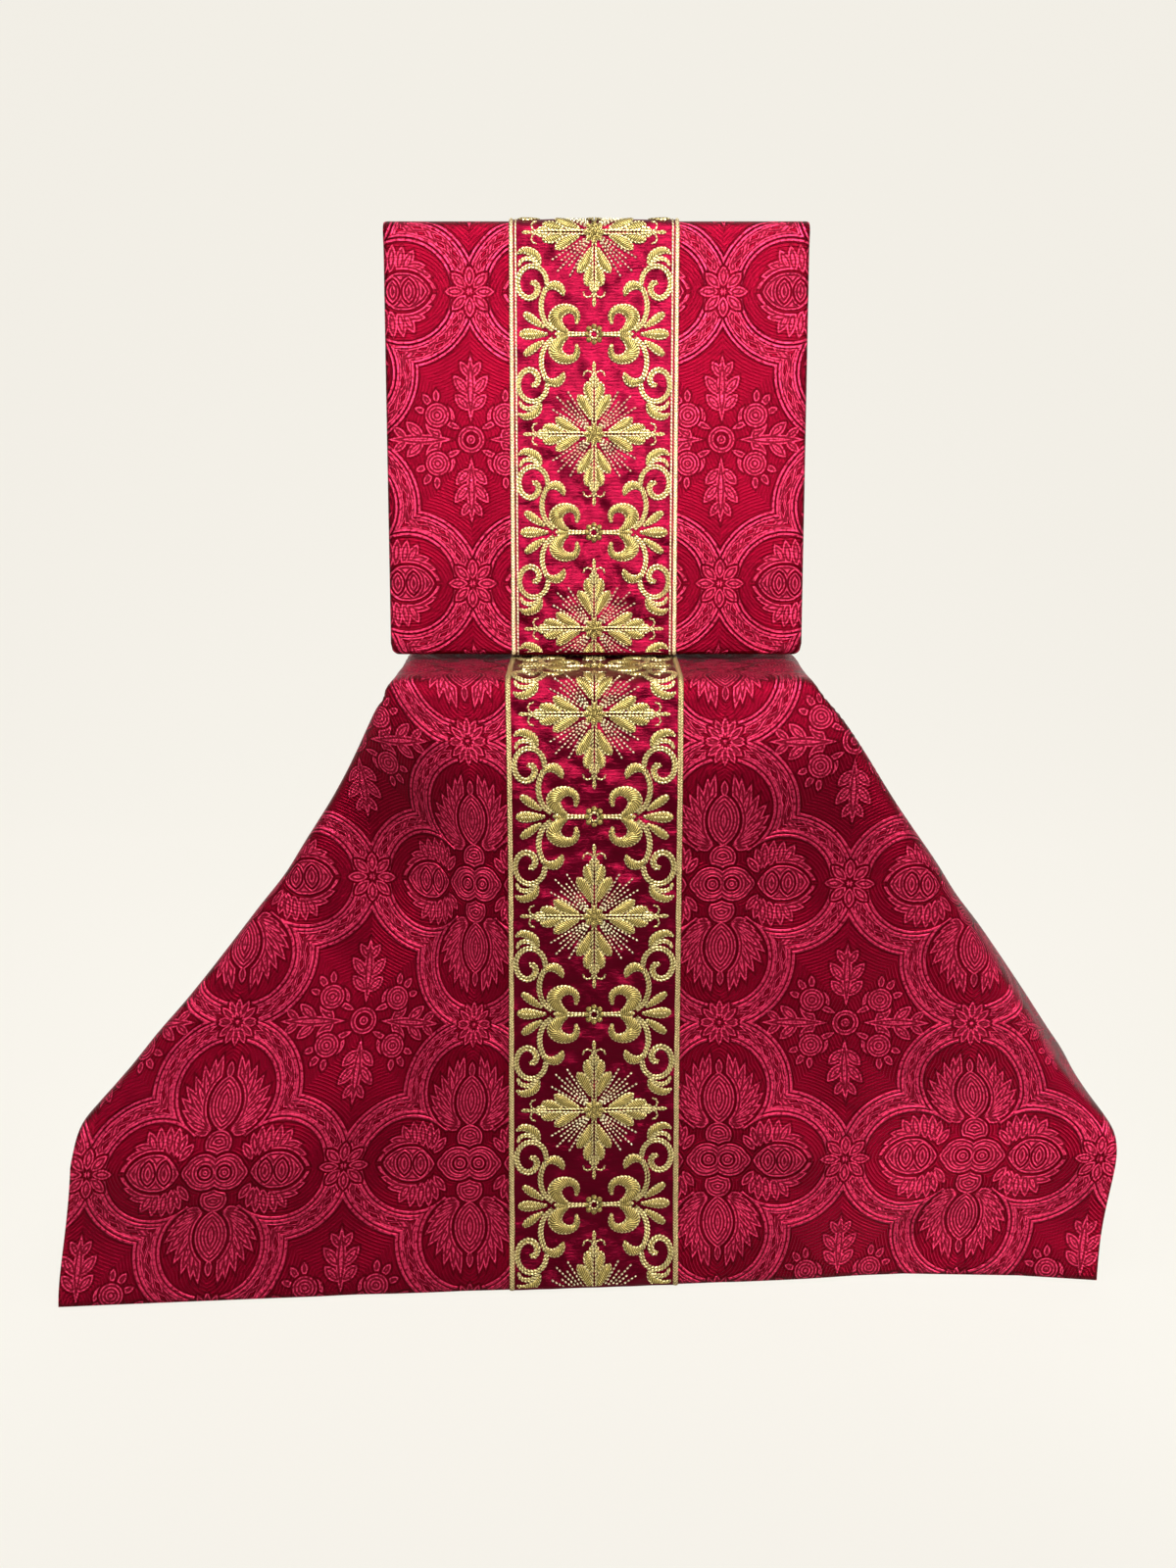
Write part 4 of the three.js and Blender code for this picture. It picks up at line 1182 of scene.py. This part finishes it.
def embroider(name, motif, surface, centres, end, slot_nodes, scale=1.0):
    """Lays a motif at each centre along a band, cut off at the band's two ends."""
    across, up, height = (np.vstack(motif.points)*(scale, scale, 1)).T
    along = np.clip(up+np.array(centres)[:, None], *end)
    placed = surface(across, along, STITCHES_LOW+height)
    faces = np.vstack(motif.faces)
    beyond = (along <= end[0]) | (along >= end[1])
    kept = ~beyond[:, faces].all(2)
    first = np.arange(len(centres))*len(up)
    used, inverse = np.unique((faces+first[:, None, None])[kept], return_inverse=True)
    cloth = np.tile(np.vstack(motif.cloth), (len(centres), 1))
    threads = np.tile(np.concatenate(motif.threads), (len(centres), 1))
    piece = make_piece(
        name, placed.reshape(-1, 3)[used], [inverse.reshape(-1, 4)], cloth[used], threads[kept])
    return dress(piece, [GOLD_FILL, GOLD_CORD, WHITE_GOLD], slot_nodes)


cross = cross_motif()
scroll = scroll_motif()
veil_pitch = MOTIF_PITCH*VEIL_MOTIF_SCALE
veil_crosses_t = [-FIRST_CROSS_DROP+veil_pitch*k for k in range(-3, 3)]
veil_scrolls_t = [t+veil_pitch/2 for t in veil_crosses_t]
veil_end = (veil_t[0]+HEM_MARGIN, veil_t[-1]-HEM_MARGIN)
veil_crosses = embroider(
    "veil_crosses", cross, on_veil, veil_crosses_t, veil_end,
    [f"veil_cross_{k}" for k in range(1, 7)], VEIL_MOTIF_SCALE)
veil_scrolls = embroider(
    "veil_scrolls", scroll, on_veil, veil_scrolls_t, veil_end,
    [f"veil_scroll_{k}" for k in range(1, 6)], VEIL_MOTIF_SCALE)

burse_crosses_h = [BURSE_FIRST_CROSS+MOTIF_PITCH*k for k in range(5)]
burse_scrolls_h = [h-MOTIF_PITCH/2 for h in burse_crosses_h]+[burse_crosses_h[-1]+MOTIF_PITCH/2]
burse_end = (HEM_MARGIN, BURSE_RUN-HEM_MARGIN)
embroider(
    "burse_crosses", cross, on_burse_band, burse_crosses_h, burse_end,
    [f"burse_cross_{k}" for k in range(1, 6)])
embroider(
    "burse_scrolls", scroll, on_burse_band, burse_scrolls_h, burse_end,
    [f"burse_scroll_{k}" for k in range(1, 5)])

# ---------- stand
for node in ("stand_board", "stand_post", "stand_foot"):
    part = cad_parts[node]
    part.data.materials.clear()
    part.data.materials.append(WOOD)

# ---------- floor, light and camera
PAPER = (0.03, 0.03, 0.028)
PAPER_GLOW = (0.90, 0.87, 0.80)
GLOW_STRENGTH = 0.945
FLOOR_HALF_WIDE = 3.0
FLOOR_FRONT = -1.6
FLOOR_BACK = 1.5
WALL_TOP = 2.6
SWEEP = 0.7


def studio_sweep():
    """A pale floor that curves up into the backdrop. It glows, to look even and shadowless."""
    turn = np.linspace(0, pi/2, 14)
    y = np.concatenate([[FLOOR_FRONT], FLOOR_BACK-SWEEP+SWEEP*np.sin(turn), [FLOOR_BACK]])
    z = np.concatenate([[0], SWEEP-SWEEP*np.cos(turn), [WALL_TOP]])
    mesh = bpy.data.meshes.new("studio_sweep")
    points = [(x, a, b) for x in (-FLOOR_HALF_WIDE, FLOOR_HALF_WIDE) for a, b in zip(y, z)]
    count = len(y)
    faces = [(k, k+count, k+count+1, k+1) for k in range(count-1)]
    mesh.from_pydata(points, [], faces)
    mesh.polygons.foreach_set("use_smooth", [True]*len(mesh.polygons))
    sweep = bpy.data.objects.new("studio_sweep", mesh)
    bpy.context.scene.collection.objects.link(sweep)
    paper = Finish("backdrop_paper")
    grain = paper.noise(paper.place(), (60.0, 60.0, 60.0))
    paper.give(
        Base_Color=paper.mix(grain, PAPER, tuple(1.01*c for c in PAPER)), Roughness=0.9,
        Emission_Color=PAPER_GLOW, Emission_Strength=GLOW_STRENGTH)
    mesh.materials.append(paper.material)


def soft_light(name, place, aim, size, power, spread=180):
    """A lamp with a soft flat face, at a place in metres, turned towards its aim."""
    light = bpy.data.lights.new(name, "AREA")
    light.shape = "RECTANGLE"
    light.size, light.size_y = size
    light.energy = power
    light.spread = radians(spread)
    lamp = bpy.data.objects.new(name, light)
    lamp.location = place
    lamp.rotation_euler = (Vector(aim)-Vector(place)).to_track_quat("-Z", "Y").to_euler()
    bpy.context.scene.collection.objects.link(lamp)


studio_sweep()
# The key is close and aimed high, so that the burse is bright and the veil darkens downwards.
soft_light("key_in_front", (0.1, -0.8, 1.0), (0, 0, 0.41), (0.55, 0.3), 4.1, spread=60)
soft_light("from_the_left", (-1.25, -0.6, 0.45), (0, 0, 0.15), (0.4, 0.7), 8)
soft_light("from_the_right", (1.25, -0.6, 0.45), (0, 0, 0.15), (0.4, 0.7), 9)
soft_light("over_the_shoulders", (0, -0.42, 1.25), (0, -0.06, 0.33), (0.9, 0.25), 10)
soft_light(
    "at_the_left_hem", (-0.85, -0.8, 0.2), (-0.28, -0.1, 0.02), (0.2, 0.2), 0.16, spread=25)
soft_light(
    "at_the_right_hem", (0.8, -0.8, 0.2), (0.26, -0.1, 0.03), (0.2, 0.2), 0.45, spread=25)
soft_light("over_the_floor", (0, -0.2, 2.3), (0, -0.2, 0), (3.0, 2.4), 6)
soft_light("at_the_backdrop", (0, 0.35, 2.0), (0, 1.5, 0.6), (2.6, 0.5), 8)

WORLD_COLOUR = (1.0, 0.99, 0.97, 1.0)
WORLD_STRENGTH = 0.06
world = bpy.data.worlds.new("studio_air")
world.use_nodes = True
world.node_tree.nodes["Background"].inputs["Color"].default_value = WORLD_COLOUR
world.node_tree.nodes["Background"].inputs["Strength"].default_value = WORLD_STRENGTH
bpy.context.scene.world = world
bpy.context.scene.view_settings.view_transform = "Standard"

CAMERA_AIM = np.array([-3.2, -2.0, 274.5])
CAMERA_AWAY = 850.0
CAMERA_DIP = radians(13.5)
CAMERA_LENS = 38.03
CAMERA_SENSOR = 36.0
camera_place = to_metres(CAMERA_AIM+CAMERA_AWAY*np.array([0, -cos(CAMERA_DIP), sin(CAMERA_DIP)]))
camera_data = bpy.data.cameras.new("camera")
camera_data.sensor_fit = "VERTICAL"
camera_data.sensor_height = CAMERA_SENSOR
camera_data.lens = CAMERA_LENS
camera_data.clip_start = 0.05
camera = bpy.data.objects.new("camera", camera_data)
camera.location = camera_place
look = Vector(to_metres(CAMERA_AIM))-Vector(camera_place)
camera.rotation_euler = look.to_track_quat("-Z", "Y").to_euler()
bpy.context.scene.collection.objects.link(camera)
bpy.context.scene.camera = camera
